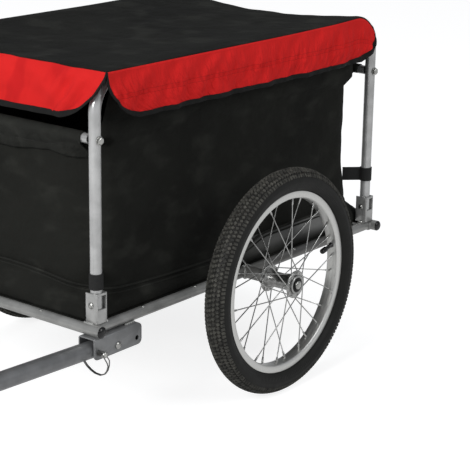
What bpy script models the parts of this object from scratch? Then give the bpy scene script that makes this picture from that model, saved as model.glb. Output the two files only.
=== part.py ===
# Two-wheeled cargo trailer for a bicycle, with a steel tube frame, a cloth cargo bag,
# a cloth cover and two quick-release wire wheels.
#
# Metres, +Z up. +X is the trailer's left side, where the tow bar is, and the bicycle is towards -Y.
# The pieces are placed from the point on the floor midway between the wheels. The last lines
# move that point so that the origin is under the middle of the whole trailer.

import math

import bmesh
import bpy
from mathutils import Matrix, Vector

# Clearances between pieces
SEAT_GAP = 0.0003
RUNNING_GAP = 0.0003
PLATE_TUCK = 0.0002
CUTTER_REACH = 0.0100

# Wheels: 16 x 1.75 inch tyres on 28-spoke rims
TYRE_RADIUS = 0.1975
TYRE_WIDTH = 0.0440
TYRE_WALL = 0.0028
RIM_RADIUS = 0.1590
RIM_WIDTH = 0.0250
RIM_DEPTH = 0.0135
RIM_WALL = 0.0015
WHEEL_PLANE_X = 0.2900
WHEEL_STEPS = 32

SPOKE_COUNT = 28
SPOKE_CROSSES = 2
SPOKE_RADIUS = 0.0010
SPOKE_CIRCLE_RADIUS = 0.0205
SPOKE_SIDES = 4
NIPPLE_RADIUS = 0.0020
NIPPLE_LENGTH = 0.0120
NIPPLE_OFFSET = 0.0030
VALVE_ANGLE = math.radians(12.5)
VALVE_STEM_RADIUS = 0.0032
VALVE_CAP_RADIUS = 0.0048
VALVE_LENGTH = 0.0300
VALVE_CAP_LENGTH = 0.0130

HUB_OUTER_WIDTH = 0.0280
HUB_INNER_WIDTH = 0.0365
HUB_BOSS_RADIUS = 0.0170
HUB_BARREL_RADIUS = 0.0165
HUB_BORE_RADIUS = 0.0090
HUB_STEPS = 16
FLANGE_RADIUS = 0.0240
FLANGE_OUTER_OFFSET = 0.0262
FLANGE_INNER_OFFSET = 0.0290
FLANGE_THICKNESS = 0.0030
BEARING_RADIUS = 0.0140
BEARING_WIDTH = 0.0080

AXLE_RADIUS = 0.0060
AXLE_DEPTH_IN_STUB = 0.0310
AXLE_HEAD_RADIUS = 0.0160
AXLE_HEAD_THICKNESS = 0.0032
BUTTON_RADIUS = 0.0075
BUTTON_TRAVEL = 0.0020
BUTTON_CAP_THICKNESS = 0.0012
BUTTON_DOME = 0.0030
BUTTON_STEM_RADIUS = 0.0028
BUTTON_STEM_LENGTH = 0.0240

# Base frame: round steel tubes
FRAME_TUBE_RADIUS = 0.0095
FRAME_TUBE_WALL = 0.0012
RAIL_X = 0.2077
CROSS_TUBE_Y = 0.3860
CROSS_TUBE_OVERHANG = 0.0208
STUB_RADIUS = 0.0110
STUB_HUB_GAP = 0.0030
TUBE_STEPS = 12
HOLE_STEPS = 8
CAP_HEAD = 0.0040
CAP_PLUG = 0.0100

# Hoops: one tube bent to an upside-down U on each side
HOOP_TUBE_RADIUS = 0.0095
HOOP_TUBE_WALL = 0.0012
HOOP_X = 0.2055
HOOP_Y = 0.3730
HOOP_TOP_Z = 0.5940
HOOP_BEND_RADIUS = 0.0450
HOOP_BEND_POINTS = 4
HOOP_FOOT_GAP = 0.0050

# Sockets: folded steel U brackets that hold the hoops' feet
SOCKET_WALL = 0.0025
SOCKET_DEPTH = 0.0250
SOCKET_HEIGHT = 0.0485
SOCKET_WINDOW_LOW = 0.0225
SOCKET_WINDOW_TOP_BAND = 0.0035
SOCKET_WINDOW_MARGIN = 0.0030
RIVET_HEIGHT = 0.0290
RIVET_RADIUS = 0.0030
RIVET_HEAD_RADIUS = 0.0052
RIVET_HEAD_HEIGHT = 0.0022

# Crossbars between the hoops, each held by one bolt at each end
CROSSBAR_RADIUS = 0.0080
CROSSBAR_WALL = 0.0012
CROSSBAR_Z = 0.4980
CROSSBAR_END_INSERT = 0.0150
BOLT_RADIUS = 0.0030
BOLT_HEAD_RADIUS = 0.0056
BOLT_HEAD_HEIGHT = 0.0042
BOLT_REACH = 0.0140

# Cargo bag: cloth walls and floor, with sleeves round the hoops and the crossbars
CLOTH = 0.0012
SLEEVE_GAP = 0.0004
BAG_FLOOR_HALF_X = 0.2050
BAG_FLOOR_HALF_Y = 0.3825
BAG_FLOOR_CORNER = 0.0650
BAG_SEAM_RISE = 0.0450
BAG_SEAM_SPREAD_X = 0.0040
BAG_SEAM_SPREAD_Y = 0.0060
BAG_WAIST_HALF_X = 0.1885
BAG_WAIST_HALF_Y = 0.3580
BAG_WAIST_CORNER = 0.0670
BAG_TOP_CORNER = 0.0500
BAG_COLUMNS_PER_CORNER = 4
BAG_ROW_HEIGHTS = (0.0, 0.16, 0.30, 0.45, 0.60, 0.75, 0.88, 1.0)
SIDE_SLEEVE_HALF = 0.2950
END_SLEEVE_HALF = 0.1835
HEM_HALF = 0.1580
HEM_DROP = 0.0300

FLOOR_BOARD_THICKNESS = 0.0050
FLOOR_BOARD_MARGIN = 0.0060

# Webbing straps that tie the bag's corners to the posts
STRAP_HEIGHT = 0.0250
STRAP_THICKNESS = 0.0015
FRONT_STRAP_Z = 0.2740
REAR_STRAP_Z = 0.3000

# Cover: one sheet over the hoops, with a hanging flap on each side
COVER_THICKNESS = 0.0015
COVER_HALF_X = 0.2340
COVER_FRONT_Y = 0.3700
COVER_REAR_Y = 0.3560
COVER_CORNER_PULL = 0.0150
COVER_CORNER_DROOP = 0.0270
COVER_DROOP_START = 0.2900
COVER_FLAP_DEPTH = 0.0800
COVER_SAG_MIDDLE = 0.0100
COVER_SAG_REAR = 0.0165
COVER_SPANS_X = 4
COVER_SPANS_Y = 8
COVER_FLAP_ROWS = 4
COVER_FRONT_KICK = 0.0165
COVER_SIDE_INSET = 0.0660
COVER_END_INSET = 0.1000
COVER_FOLD_DEPTH = 0.0035
COVER_FOLD_LENGTH = 0.1150
COVER_EDGE_DROP = 0.0030
COVER_SEAT_GAP = 0.0008

# Tow bar and its folded steel channel under the front left corner
TOW_BAR_RADIUS = 0.0140
TOW_BAR_WALL = 0.0015
TOW_BAR_TILT = math.radians(2.0)
TOW_BAR_BEND_Y = -0.6200
TOW_BAR_BEND_RADIUS = 0.0700
TOW_BAR_END = Vector((0.1050, -0.8850, 0.2700))
TOW_BAR_END_STRAIGHT = 0.0800
TOW_BAR_TAIL = 0.0140
CHANNEL_X = 0.2065
CHANNEL_WALL = 0.0025
CHANNEL_SIDE_GAP = 0.0005
CHANNEL_FRONT_Y = -0.3975
CHANNEL_LENGTH = 0.1100
CHANNEL_HEIGHT = 0.0360
CHANNEL_CORNER = 0.0080
CHANNEL_BEND = 0.0040
PIVOT_Y = -0.3430
PIVOT_Z = 0.1635
PIVOT_RADIUS = 0.0040
PIVOT_HEAD_RADIUS = 0.0062
PIVOT_HEAD_HEIGHT = 0.0030
LOCK_PIN_DISTANCE = 0.0445
LOCK_PIN_RADIUS = 0.0038
LOCK_PIN_NECK_RADIUS = 0.0046
LOCK_PIN_NECK_LENGTH = 0.0055
LOCK_PIN_HEAD_RADIUS = 0.0052
LOCK_PIN_HEAD_LENGTH = 0.0155
LOCK_PIN_TIP = 0.0110
LOCK_SLOT_ANGLE = math.radians(36.0)
BAIL_WIRE_RADIUS = 0.0010
BAIL_HALF_WIDTH = 0.0078
BAIL_TILT = math.radians(35.0)
BAIL_BULGE = 0.0100
BAIL_DEPTH = 0.0360

# Hitch: a fork on the tow bar, a knuckle and the bracket that the bicycle's axle holds
FORK_EAR = 0.0040
FORK_GAP = 0.0160
FORK_REACH = 0.0210
FORK_HEIGHT = 0.0220
FORK_BLOCK = 0.0080
FORK_PLUG = 0.0200
KNUCKLE_RADIUS = 0.0095
KNUCKLE_REACH = 0.0390
KNUCKLE_THICKNESS = 0.0100
KNUCKLE_SIDE_GAP = 0.0003
HITCH_BOLT_RADIUS = 0.0040
HITCH_PIN_RADIUS = 0.0040
HITCH_PIN_BELOW = 0.0120
HITCH_PIN_ABOVE = 0.0060
HITCH_PIN_GRIP_RADIUS = 0.0110
BRACKET_PLATE = 0.0040
BRACKET_LUG_HALF = 0.0100
BRACKET_WEB_DISTANCE = 0.0150
BRACKET_PLATE_LENGTH = 0.0650
BRACKET_PLATE_HALF = 0.0160
BRACKET_AXLE_HOLE = 0.0055

AXLE_HEIGHT = TYRE_RADIUS
CROSS_TUBE_HALF = RAIL_X + CROSS_TUBE_OVERHANG
FRAME_TOP_Z = AXLE_HEIGHT + FRAME_TUBE_RADIUS
SOCKET_Z = FRAME_TOP_Z + SEAT_GAP
HUB_OUTER_X = WHEEL_PLANE_X + HUB_OUTER_WIDTH
STUB_END_X = WHEEL_PLANE_X - HUB_INNER_WIDTH - STUB_HUB_GAP
RIM_INNER_RADIUS = RIM_RADIUS - RIM_DEPTH
SLEEVE_TOP_Z = HOOP_TOP_Z + HOOP_TUBE_RADIUS + SLEEVE_GAP + CLOTH
COVER_TOP_Z = SLEEVE_TOP_Z + COVER_SEAT_GAP + COVER_THICKNESS
PIVOT = Vector((CHANNEL_X, PIVOT_Y, PIVOT_Z))
CHANNEL_HALF_WIDTH = TOW_BAR_RADIUS + CHANNEL_SIDE_GAP + CHANNEL_WALL
LOCK_PIN = PIVOT + Vector((0.0, -LOCK_PIN_DISTANCE, 0.0))
HITCH_PITCH = TOW_BAR_END + Vector((0.0, -FORK_REACH, 0.0))
HITCH_YAW = HITCH_PITCH + Vector((0.0, -KNUCKLE_REACH, 0.0))

for old in list(bpy.data.objects):
    bpy.data.objects.remove(old, do_unlink=True)

PARTS = bpy.data.collections.new("bike_cargo_trailer")
CUTTERS = bpy.data.collections.new("cutters")
bpy.context.scene.collection.children.link(PARTS)
bpy.context.scene.collection.children.link(CUTTERS)
CUTTERS.hide_render = True


def material(name, colour, roughness, metallic=0.0):
    made = bpy.data.materials.new(name)
    made.use_nodes = True
    shader = made.node_tree.nodes["Principled BSDF"]
    shader.inputs["Base Color"].default_value = (*colour, 1.0)
    shader.inputs["Roughness"].default_value = roughness
    shader.inputs["Metallic"].default_value = metallic
    made.diffuse_color = (*colour, 1.0)
    return made


FRAME_PAINT = material("silver_frame_paint", (0.30, 0.30, 0.30), 0.40, 0.6)
HOOP_PAINT = material("light_hoop_paint", (0.42, 0.42, 0.41), 0.35, 0.6)
TOW_PAINT = material("grey_tow_bar_paint", (0.20, 0.21, 0.22), 0.45, 0.4)
ZINC = material("zinc_plated_steel", (0.60, 0.60, 0.58), 0.30, 1.0)
DARK_STEEL = material("blackened_steel", (0.05, 0.05, 0.05), 0.45, 0.8)
ALUMINIUM = material("satin_aluminium", (0.62, 0.62, 0.62), 0.32, 1.0)
RUBBER = material("tyre_rubber", (0.018, 0.018, 0.018), 0.75)
BLACK_PLASTIC = material("black_plastic", (0.02, 0.02, 0.02), 0.5)
BLACK_CLOTH = material("black_cloth", (0.012, 0.013, 0.011), 0.85)
RED_CLOTH = material("red_cloth", (0.50, 0.02, 0.02), 0.8)
WEBBING = material("black_webbing", (0.015, 0.015, 0.015), 0.8)
BOARD = material("black_board", (0.03, 0.03, 0.03), 0.6)


def place(name, mesh, finish, collection=PARTS):
    obj = bpy.data.objects.new(name, mesh)
    collection.objects.link(obj)
    if finish:
        mesh.materials.append(finish)
    if collection is CUTTERS:
        obj.display_type = "WIRE"
        obj.hide_render = True
    return obj


def turned(name, profile, centre, direction, finish=None, steps=TUBE_STEPS, collection=PARTS):
    """A turned piece. The profile is (radius, height) down the outer side, from the top. A profile
    that starts and ends off the axis is a ring, and is closed."""
    mesh = bpy.data.meshes.new(name)
    corners = [(radius, 0.0, height) for radius, height in profile]
    edges = [(i, i + 1) for i in range(len(corners) - 1)]
    if profile[0][0] > 0.0:
        edges.append((len(corners) - 1, 0))
    mesh.from_pydata(corners, edges, [])
    obj = place(name, mesh, finish, collection)
    obj.location = centre
    turn = Vector((0.0, 0.0, 1.0)).rotation_difference(Vector(direction))
    obj.rotation_euler = turn.to_euler()
    screw = obj.modifiers.new("turn", "SCREW")
    screw.steps = steps
    screw.render_steps = steps
    screw.use_smooth_shade = True
    screw.use_merge_vertices = True
    screw.merge_threshold = 0.00001
    return obj


def rod(name, radius, start, end, finish=None, steps=TUBE_STEPS, collection=PARTS):
    """A plain round bar between two points."""
    start = Vector(start)
    along = Vector(end) - start
    profile = [(0.0, along.length), (radius, along.length), (radius, 0.0), (0.0, 0.0)]
    return turned(name, profile, start, along, finish, steps, collection)


def tube(name, radius, wall, start, end, finish, steps=TUBE_STEPS):
    """A straight tube, open at both ends."""
    start = Vector(start)
    along = Vector(end) - start
    inner = radius - wall
    profile = [(radius, along.length), (radius, 0.0), (inner, 0.0), (inner, along.length)]
    return turned(name, profile, start, along, finish, steps)


def box(name, low, high, finish=None, collection=PARTS):
    low = Vector(low)
    high = Vector(high)
    shape = bmesh.new()
    bmesh.ops.create_cube(shape, size=1.0)
    bmesh.ops.scale(shape, vec=high - low, verts=shape.verts)
    mesh = bpy.data.meshes.new(name)
    shape.to_mesh(mesh)
    shape.free()
    obj = place(name, mesh, finish, collection)
    obj.location = (low + high) / 2
    return obj


def as_mesh(obj, finish=None):
    """The same object with its evaluated shape as its own mesh, and its loose ends welded."""
    bpy.context.view_layer.update()
    graph = bpy.context.evaluated_depsgraph_get()
    mesh = bpy.data.meshes.new_from_object(obj.evaluated_get(graph))
    shape = bmesh.new()
    shape.from_mesh(mesh)
    bmesh.ops.remove_doubles(shape, verts=shape.verts, dist=0.000001)
    shape.to_mesh(mesh)
    shape.free()
    name = obj.name
    matrix = obj.matrix_world.copy()
    collection = obj.users_collection[0]
    bpy.data.objects.remove(obj, do_unlink=True)
    mesh.materials.clear()
    made = place(name, mesh, finish, collection)
    made.name = name
    made.matrix_world = matrix
    return made


def wire(name, points, radius, finish=None, resolution=4, cyclic=False, collection=PARTS):
    """A round bar that follows the points, as a mesh."""
    curve = bpy.data.curves.new(name, "CURVE")
    curve.dimensions = "3D"
    curve.bevel_depth = radius
    curve.bevel_resolution = resolution
    curve.use_fill_caps = not cyclic
    spline = curve.splines.new("POLY")
    spline.points.add(len(points) - 1)
    spline.use_cyclic_u = cyclic
    for knot, point in zip(spline.points, points):
        knot.co = (*point, 1.0)
    return as_mesh(place(name, curve, None, collection), finish)


def plate(name, outline, thickness, centre, across, finish=None, collection=PARTS):
    """A flat plate. The outline's two values run along +Y and +Z when the plate faces X, along +X and
    +Z when it faces Y, and along +X and +Y when it faces Z."""
    curve = bpy.data.curves.new(name, "CURVE")
    curve.dimensions = "2D"
    curve.fill_mode = "BOTH"
    curve.extrude = thickness / 2
    spline = curve.splines.new("POLY")
    spline.points.add(len(outline) - 1)
    spline.use_cyclic_u = True
    for knot, (u, v) in zip(spline.points, outline):
        knot.co = (u, v, 0.0, 1.0)
    obj = place(name, curve, None, collection)
    turns = {
        "X": Matrix(((0, 0, 1), (1, 0, 0), (0, 1, 0))),
        "Y": Matrix(((1, 0, 0), (0, 0, -1), (0, 1, 0))),
        "Z": Matrix.Identity(3),
    }
    obj.matrix_world = Matrix.Translation(centre) @ turns[across].to_4x4()
    return as_mesh(obj, finish)


def boolean(obj, other, operation, merge_itself=False):
    modifier = obj.modifiers.new(operation.lower(), "BOOLEAN")
    modifier.operation = operation
    modifier.solver = "EXACT"
    modifier.object = other
    modifier.use_self = merge_itself
    other.display_type = "WIRE"
    other.hide_render = True
    if other.name in PARTS.objects:
        PARTS.objects.unlink(other)
        CUTTERS.objects.link(other)
    return obj


def cut(obj, *cutters):
    for cutter in cutters:
        boolean(obj, cutter, "DIFFERENCE")
    return obj


def fuse(obj, *others):
    for other in others:
        boolean(obj, other, "UNION")
    return obj


def arc(centre, radius, start, end, count):
    """Points on an arc in a plane, as pairs."""
    made = []
    for i in range(count):
        angle = start + (end - start) * i / (count - 1)
        made.append((centre[0] + radius * math.cos(angle), centre[1] + radius * math.sin(angle)))
    return made


def rounded_rectangle(low, high, radius, per_corner=4):
    """The outline of a rectangle with round corners, anticlockwise."""
    quarter = math.pi / 2
    corners = (
        (high[0] - radius, low[1] + radius, -quarter),
        (high[0] - radius, high[1] - radius, 0.0),
        (low[0] + radius, high[1] - radius, quarter),
        (low[0] + radius, low[1] + radius, math.pi),
    )
    outline = []
    for u, v, start in corners:
        outline += arc((u, v), radius, start, start + quarter, per_corner)
    return outline


def bent_path(corners, radius, count):
    """The corners joined by straight runs, with an arc of this radius at each inner corner."""
    points = [Vector(corners[0])]
    for before, corner, after in zip(corners, corners[1:], corners[2:]):
        corner = Vector(corner)
        back = (Vector(before) - corner).normalized()
        ahead = (Vector(after) - corner).normalized()
        half = back.angle(ahead) / 2
        middle = corner + (back + ahead).normalized() * radius / math.sin(half)
        first = corner + back * radius / math.tan(half) - middle
        last = corner + ahead * radius / math.tan(half) - middle
        turn = first.rotation_difference(last)
        for i in range(count):
            part = turn.copy()
            part.angle = turn.angle * i / (count - 1)
            points.append(middle + part @ first)
    points.append(Vector(corners[-1]))
    return points


def bent_tube(name, corners, bend_radius, bend_points, radius, wall, finish):
    """A bent tube, open at both ends. Its bore runs past the ends."""
    path = bent_path(corners, bend_radius, bend_points)
    obj = wire(name, path, radius, finish, resolution=4)
    first = path[0] + (path[0] - path[1]).normalized() * CUTTER_REACH
    last = path[-1] + (path[-1] - path[-2]).normalized() * CUTTER_REACH
    bore_path = [first] + path[1:-1] + [last]
    bore = wire(name + "_bore", bore_path, radius - wall, None, 2, collection=CUTTERS)
    return cut(obj, bore)


def move_origin(obj, point):
    """Puts the object's own origin at a point on its joint's axis and leaves its shape where it is."""
    shift = Vector(point)
    obj.data.transform(Matrix.Translation(-shift) @ obj.matrix_world)
    obj.matrix_world = Matrix.Translation(shift)
    return obj


# Base frame
# The rails run between the two cross tubes at the height of the axle. The ends are cut to fit round
# the tube that they are welded to.
cross_tube_copes = [
    rod(
        f"cross_tube_cope_{end}",
        FRAME_TUBE_RADIUS + SEAT_GAP,
        (-CROSS_TUBE_HALF, y, AXLE_HEIGHT),
        (CROSS_TUBE_HALF, y, AXLE_HEIGHT),
        collection=CUTTERS,
    )
    for end, y in (("front", -CROSS_TUBE_Y), ("rear", CROSS_TUBE_Y))
]
rail_copes = [
    rod(
        f"{side}_rail_cope",
        FRAME_TUBE_RADIUS + SEAT_GAP,
        (x, -CROSS_TUBE_Y, AXLE_HEIGHT),
        (x, CROSS_TUBE_Y, AXLE_HEIGHT),
        collection=CUTTERS,
    )
    for side, x in (("left", RAIL_X), ("right", -RAIL_X))
]

for side, x in (("left", RAIL_X), ("right", -RAIL_X)):
    rail = tube(
        f"{side}_rail",
        FRAME_TUBE_RADIUS,
        FRAME_TUBE_WALL,
        (x, -CROSS_TUBE_Y, AXLE_HEIGHT),
        (x, CROSS_TUBE_Y, AXLE_HEIGHT),
        FRAME_PAINT,
    )
    cut(rail, *cross_tube_copes)

for end, y in (("front", -CROSS_TUBE_Y), ("rear", CROSS_TUBE_Y)):
    tube(
        f"{end}_cross_tube",
        FRAME_TUBE_RADIUS,
        FRAME_TUBE_WALL,
        (-CROSS_TUBE_HALF, y, AXLE_HEIGHT),
        (CROSS_TUBE_HALF, y, AXLE_HEIGHT),
        FRAME_PAINT,
    )
    for side, outwards in (("left", 1), ("right", -1)):
        plug = FRAME_TUBE_RADIUS - FRAME_TUBE_WALL - SEAT_GAP
        dome = arc((0.0, 0.0), 1.0, math.pi / 2, 0.0, 4)
        head = [(FRAME_TUBE_RADIUS * u, SEAT_GAP + CAP_HEAD * v) for u, v in dome[1:]]
        turned(
            f"{end}_{side}_end_cap",
            [(0.0, SEAT_GAP + CAP_HEAD)] + head + [(plug, SEAT_GAP), (plug, -CAP_PLUG), (0.0, -CAP_PLUG)],
            (outwards * CROSS_TUBE_HALF, y, AXLE_HEIGHT),
            (outwards, 0, 0),
            BLACK_PLASTIC,
        )

axle_tube = tube(
    "axle_tube",
    FRAME_TUBE_RADIUS,
    FRAME_TUBE_WALL,
    (-RAIL_X, 0.0, AXLE_HEIGHT),
    (RAIL_X, 0.0, AXLE_HEIGHT),
    FRAME_PAINT,
)
cut(axle_tube, *rail_copes)

AXLE_BORE_RADIUS = AXLE_RADIUS + RUNNING_GAP
for side, outwards, cope in (("left", 1, rail_copes[0]), ("right", -1, rail_copes[1])):
    stub = tube(
        f"{side}_axle_stub",
        STUB_RADIUS,
        STUB_RADIUS - AXLE_BORE_RADIUS,
        (outwards * (RAIL_X + FRAME_TUBE_RADIUS / 2), 0.0, AXLE_HEIGHT),
        (outwards * STUB_END_X, 0.0, AXLE_HEIGHT),
        FRAME_PAINT,
    )
    cut(stub, cope)


# Hoops, sockets, rivets, crossbars and their bolts
def hoop(side, x):
    foot_z = SOCKET_Z + HOOP_FOOT_GAP
    corners = [
        (x, -HOOP_Y, foot_z),
        (x, -HOOP_Y, HOOP_TOP_Z),
        (x, HOOP_Y, HOOP_TOP_Z),
        (x, HOOP_Y, foot_z),
    ]
    made = bent_tube(
        f"{side}_hoop",
        corners,
        HOOP_BEND_RADIUS,
        HOOP_BEND_POINTS,
        HOOP_TUBE_RADIUS,
        HOOP_TUBE_WALL,
        HOOP_PAINT,
    )
    for end, y in (("front", -HOOP_Y), ("rear", HOOP_Y)):
        rivet_hole = rod(
            f"{end}_{side}_rivet_hole",
            RIVET_RADIUS + SEAT_GAP,
            (x, y - 2 * HOOP_TUBE_RADIUS, SOCKET_Z + RIVET_HEIGHT),
            (x, y + 2 * HOOP_TUBE_RADIUS, SOCKET_Z + RIVET_HEIGHT),
            steps=HOLE_STEPS,
            collection=CUTTERS,
        )
        bolt_hole = rod(
            f"{end}_{side}_bolt_hole",
            BOLT_RADIUS + SEAT_GAP,
            (x - 2 * HOOP_TUBE_RADIUS, y, CROSSBAR_Z),
            (x + 2 * HOOP_TUBE_RADIUS, y, CROSSBAR_Z),
            steps=HOLE_STEPS,
            collection=CUTTERS,
        )
        cut(made, rivet_hole, bolt_hole)


def socket(end, side, outwards, y):
    """A folded U: two plates across the trailer, joined by a web on the outside that has a window."""
    name = f"{end}_{side}_socket"
    inner_half = HOOP_TUBE_RADIUS + SEAT_GAP
    half = inner_half + SOCKET_WALL
    inner_x = outwards * (HOOP_X - SOCKET_DEPTH / 2)
    outer_x = outwards * (HOOP_X + SOCKET_DEPTH / 2)
    web_x = outwards * (HOOP_X + SOCKET_DEPTH / 2 - SOCKET_WALL)
    section = rounded_rectangle(
        (min(inner_x, outer_x), y - half), (max(inner_x, outer_x), y + half), SOCKET_WALL, 3
    )
    middle_z = SOCKET_Z + SOCKET_HEIGHT / 2
    made = plate(name, section, SOCKET_HEIGHT, (0.0, 0.0, middle_z), "Z", FRAME_PAINT)
    hollow = box(
        name + "_hollow",
        (min(web_x, inner_x - outwards * SOCKET_DEPTH), y - inner_half, SOCKET_Z - 0.01),
        (max(web_x, inner_x - outwards * SOCKET_DEPTH), y + inner_half, SOCKET_Z + SOCKET_HEIGHT + 0.01),
        collection=CUTTERS,
    )
    window_half = half - SOCKET_WINDOW_MARGIN
    window = box(
        name + "_window",
        (min(web_x, outer_x) - SOCKET_WALL, y - window_half, SOCKET_Z + SOCKET_WINDOW_LOW),
        (
            max(web_x, outer_x) + SOCKET_WALL,
            y + window_half,
            SOCKET_Z + SOCKET_HEIGHT - SOCKET_WINDOW_TOP_BAND,
        ),
        collection=CUTTERS,
    )
    hole = rod(
        name + "_rivet_hole",
        RIVET_RADIUS + SEAT_GAP,
        (outwards * HOOP_X, y - 2 * half, SOCKET_Z + RIVET_HEIGHT),
        (outwards * HOOP_X, y + 2 * half, SOCKET_Z + RIVET_HEIGHT),
        steps=HOLE_STEPS,
        collection=CUTTERS,
    )
    cut(made, hollow, window, hole)
    seat = half + SEAT_GAP
    turned(
        f"{end}_{side}_hoop_rivet",
        [
            (0.0, seat + RIVET_HEAD_HEIGHT),
            (RIVET_HEAD_RADIUS * 0.6, seat + RIVET_HEAD_HEIGHT),
            (RIVET_HEAD_RADIUS, seat),
            (RIVET_RADIUS, seat),
            (RIVET_RADIUS, -seat),
            (RIVET_HEAD_RADIUS, -seat),
            (RIVET_HEAD_RADIUS * 0.6, -seat - RIVET_HEAD_HEIGHT),
            (0.0, -seat - RIVET_HEAD_HEIGHT),
        ],
        (outwards * HOOP_X, y, SOCKET_Z + RIVET_HEIGHT),
        (0, 1, 0),
        ZINC,
        steps=HOLE_STEPS,
    )


def crossbar(end, y):
    """A tube with a threaded insert pressed into each end."""
    half = HOOP_X - HOOP_TUBE_RADIUS - SEAT_GAP
    bore = CROSSBAR_RADIUS - CROSSBAR_WALL
    thread = BOLT_RADIUS + SEAT_GAP
    insert = half - CROSSBAR_END_INSERT
    turned(
        f"{end}_crossbar",
        [
            (CROSSBAR_RADIUS, half),
            (CROSSBAR_RADIUS, -half),
            (thread, -half),
            (thread, -insert),
            (bore, -insert),
            (bore, insert),
            (thread, insert),
            (thread, half),
        ],
        (0.0, y, CROSSBAR_Z),
        (1, 0, 0),
        HOOP_PAINT,
    )
    for side, outwards in (("left", 1), ("right", -1)):
        seat = HOOP_TUBE_RADIUS + SEAT_GAP
        shank_end = -HOOP_TUBE_RADIUS - BOLT_REACH
        bolt = turned(
            f"{end}_{side}_crossbar_bolt",
            [
                (0.0, seat + BOLT_HEAD_HEIGHT),
                (BOLT_HEAD_RADIUS, seat + BOLT_HEAD_HEIGHT),
                (BOLT_HEAD_RADIUS, seat),
                (0.0, seat),
            ],
            (outwards * HOOP_X, y, CROSSBAR_Z),
            (outwards, 0, 0),
            ZINC,
            steps=6,
        )
        shank = rod(
            f"{end}_{side}_bolt_shank",
            BOLT_RADIUS,
            (outwards * (HOOP_X + shank_end), y, CROSSBAR_Z),
            (outwards * (HOOP_X + seat + BOLT_HEAD_HEIGHT / 2), y, CROSSBAR_Z),
            steps=HOLE_STEPS,
            collection=CUTTERS,
        )
        fuse(bolt, shank)


hoop("left", HOOP_X)
hoop("right", -HOOP_X)
for end, y in (("front", -HOOP_Y), ("rear", HOOP_Y)):
    crossbar(end, y)
    for side, outwards in (("left", 1), ("right", -1)):
        socket(end, side, outwards, y)


# Cargo bag, floor board and straps
# The bag's outline is a rounded rectangle at every height. It is widest at the floor, where it is
# screwed to the tubes, and its corners are drawn in above that, where only the cloth holds them.
BAG_FLOOR_Z = FRAME_TOP_Z + SEAT_GAP
BAG_SEAM_Z = BAG_FLOOR_Z + BAG_SEAM_RISE
BAG_TOP_HALF_X = HOOP_X - HOOP_TUBE_RADIUS - SLEEVE_GAP - CLOTH / 2
BAG_TOP_HALF_Y = HOOP_Y - CROSSBAR_RADIUS - SLEEVE_GAP - CLOTH / 2


def bag_outline(share):
    """Half width, half length and corner radius, from 0 at the floor to 1 at the top."""
    height = HOOP_TOP_Z - BAG_FLOOR_Z
    seam = BAG_SEAM_RISE / height
    hem = (CROSSBAR_Z - HEM_DROP - BAG_FLOOR_Z) / height
    bar = (CROSSBAR_Z - CROSSBAR_RADIUS - BAG_FLOOR_Z) / height
    stations = (
        (0.0, (BAG_FLOOR_HALF_X, BAG_FLOOR_HALF_Y, BAG_FLOOR_CORNER)),
        (seam, (BAG_WAIST_HALF_X + BAG_SEAM_SPREAD_X, BAG_WAIST_HALF_Y + BAG_SEAM_SPREAD_Y, BAG_FLOOR_CORNER)),
        (0.35, (BAG_WAIST_HALF_X, BAG_WAIST_HALF_Y, BAG_WAIST_CORNER)),
        (hem, (BAG_WAIST_HALF_X, BAG_WAIST_HALF_Y, BAG_WAIST_CORNER)),
        (bar, (BAG_TOP_HALF_X, BAG_TOP_HALF_Y, BAG_TOP_CORNER)),
        (1.0, (BAG_TOP_HALF_X, BAG_TOP_HALF_Y, BAG_TOP_CORNER)),
    )
    for (low, below), (high, above) in zip(stations, stations[1:]):
        if share <= high:
            mix = max(share - low, 0.0) / (high - low)
            smooth = mix * mix * (3 - 2 * mix)
            return [a + (b - a) * smooth for a, b in zip(below, above)]
    return stations[-1][1]


def bag_corner(share, corner, step):
    """A point on the bag's outline at one of its four corners."""
    half_x, half_y, radius = bag_outline(share)
    angle = (corner + step / (BAG_COLUMNS_PER_CORNER - 1)) * math.pi / 2
    sign_x = 1 if corner in (0, 3) else -1
    sign_y = 1 if corner in (0, 1) else -1
    x = sign_x * (half_x - radius) + radius * math.cos(angle)
    y = sign_y * (half_y - radius) + radius * math.sin(angle)
    return x, y


def bag_top_z(corner, step):
    """The side walls reach the hoops and the end walls reach the crossbars."""
    share = step / (BAG_COLUMNS_PER_CORNER - 1)
    towards_end = share if corner in (0, 2) else 1 - share
    smooth = towards_end * towards_end * (3 - 2 * towards_end)
    return HOOP_TOP_Z + (CROSSBAR_Z - HOOP_TOP_Z) * smooth


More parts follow.
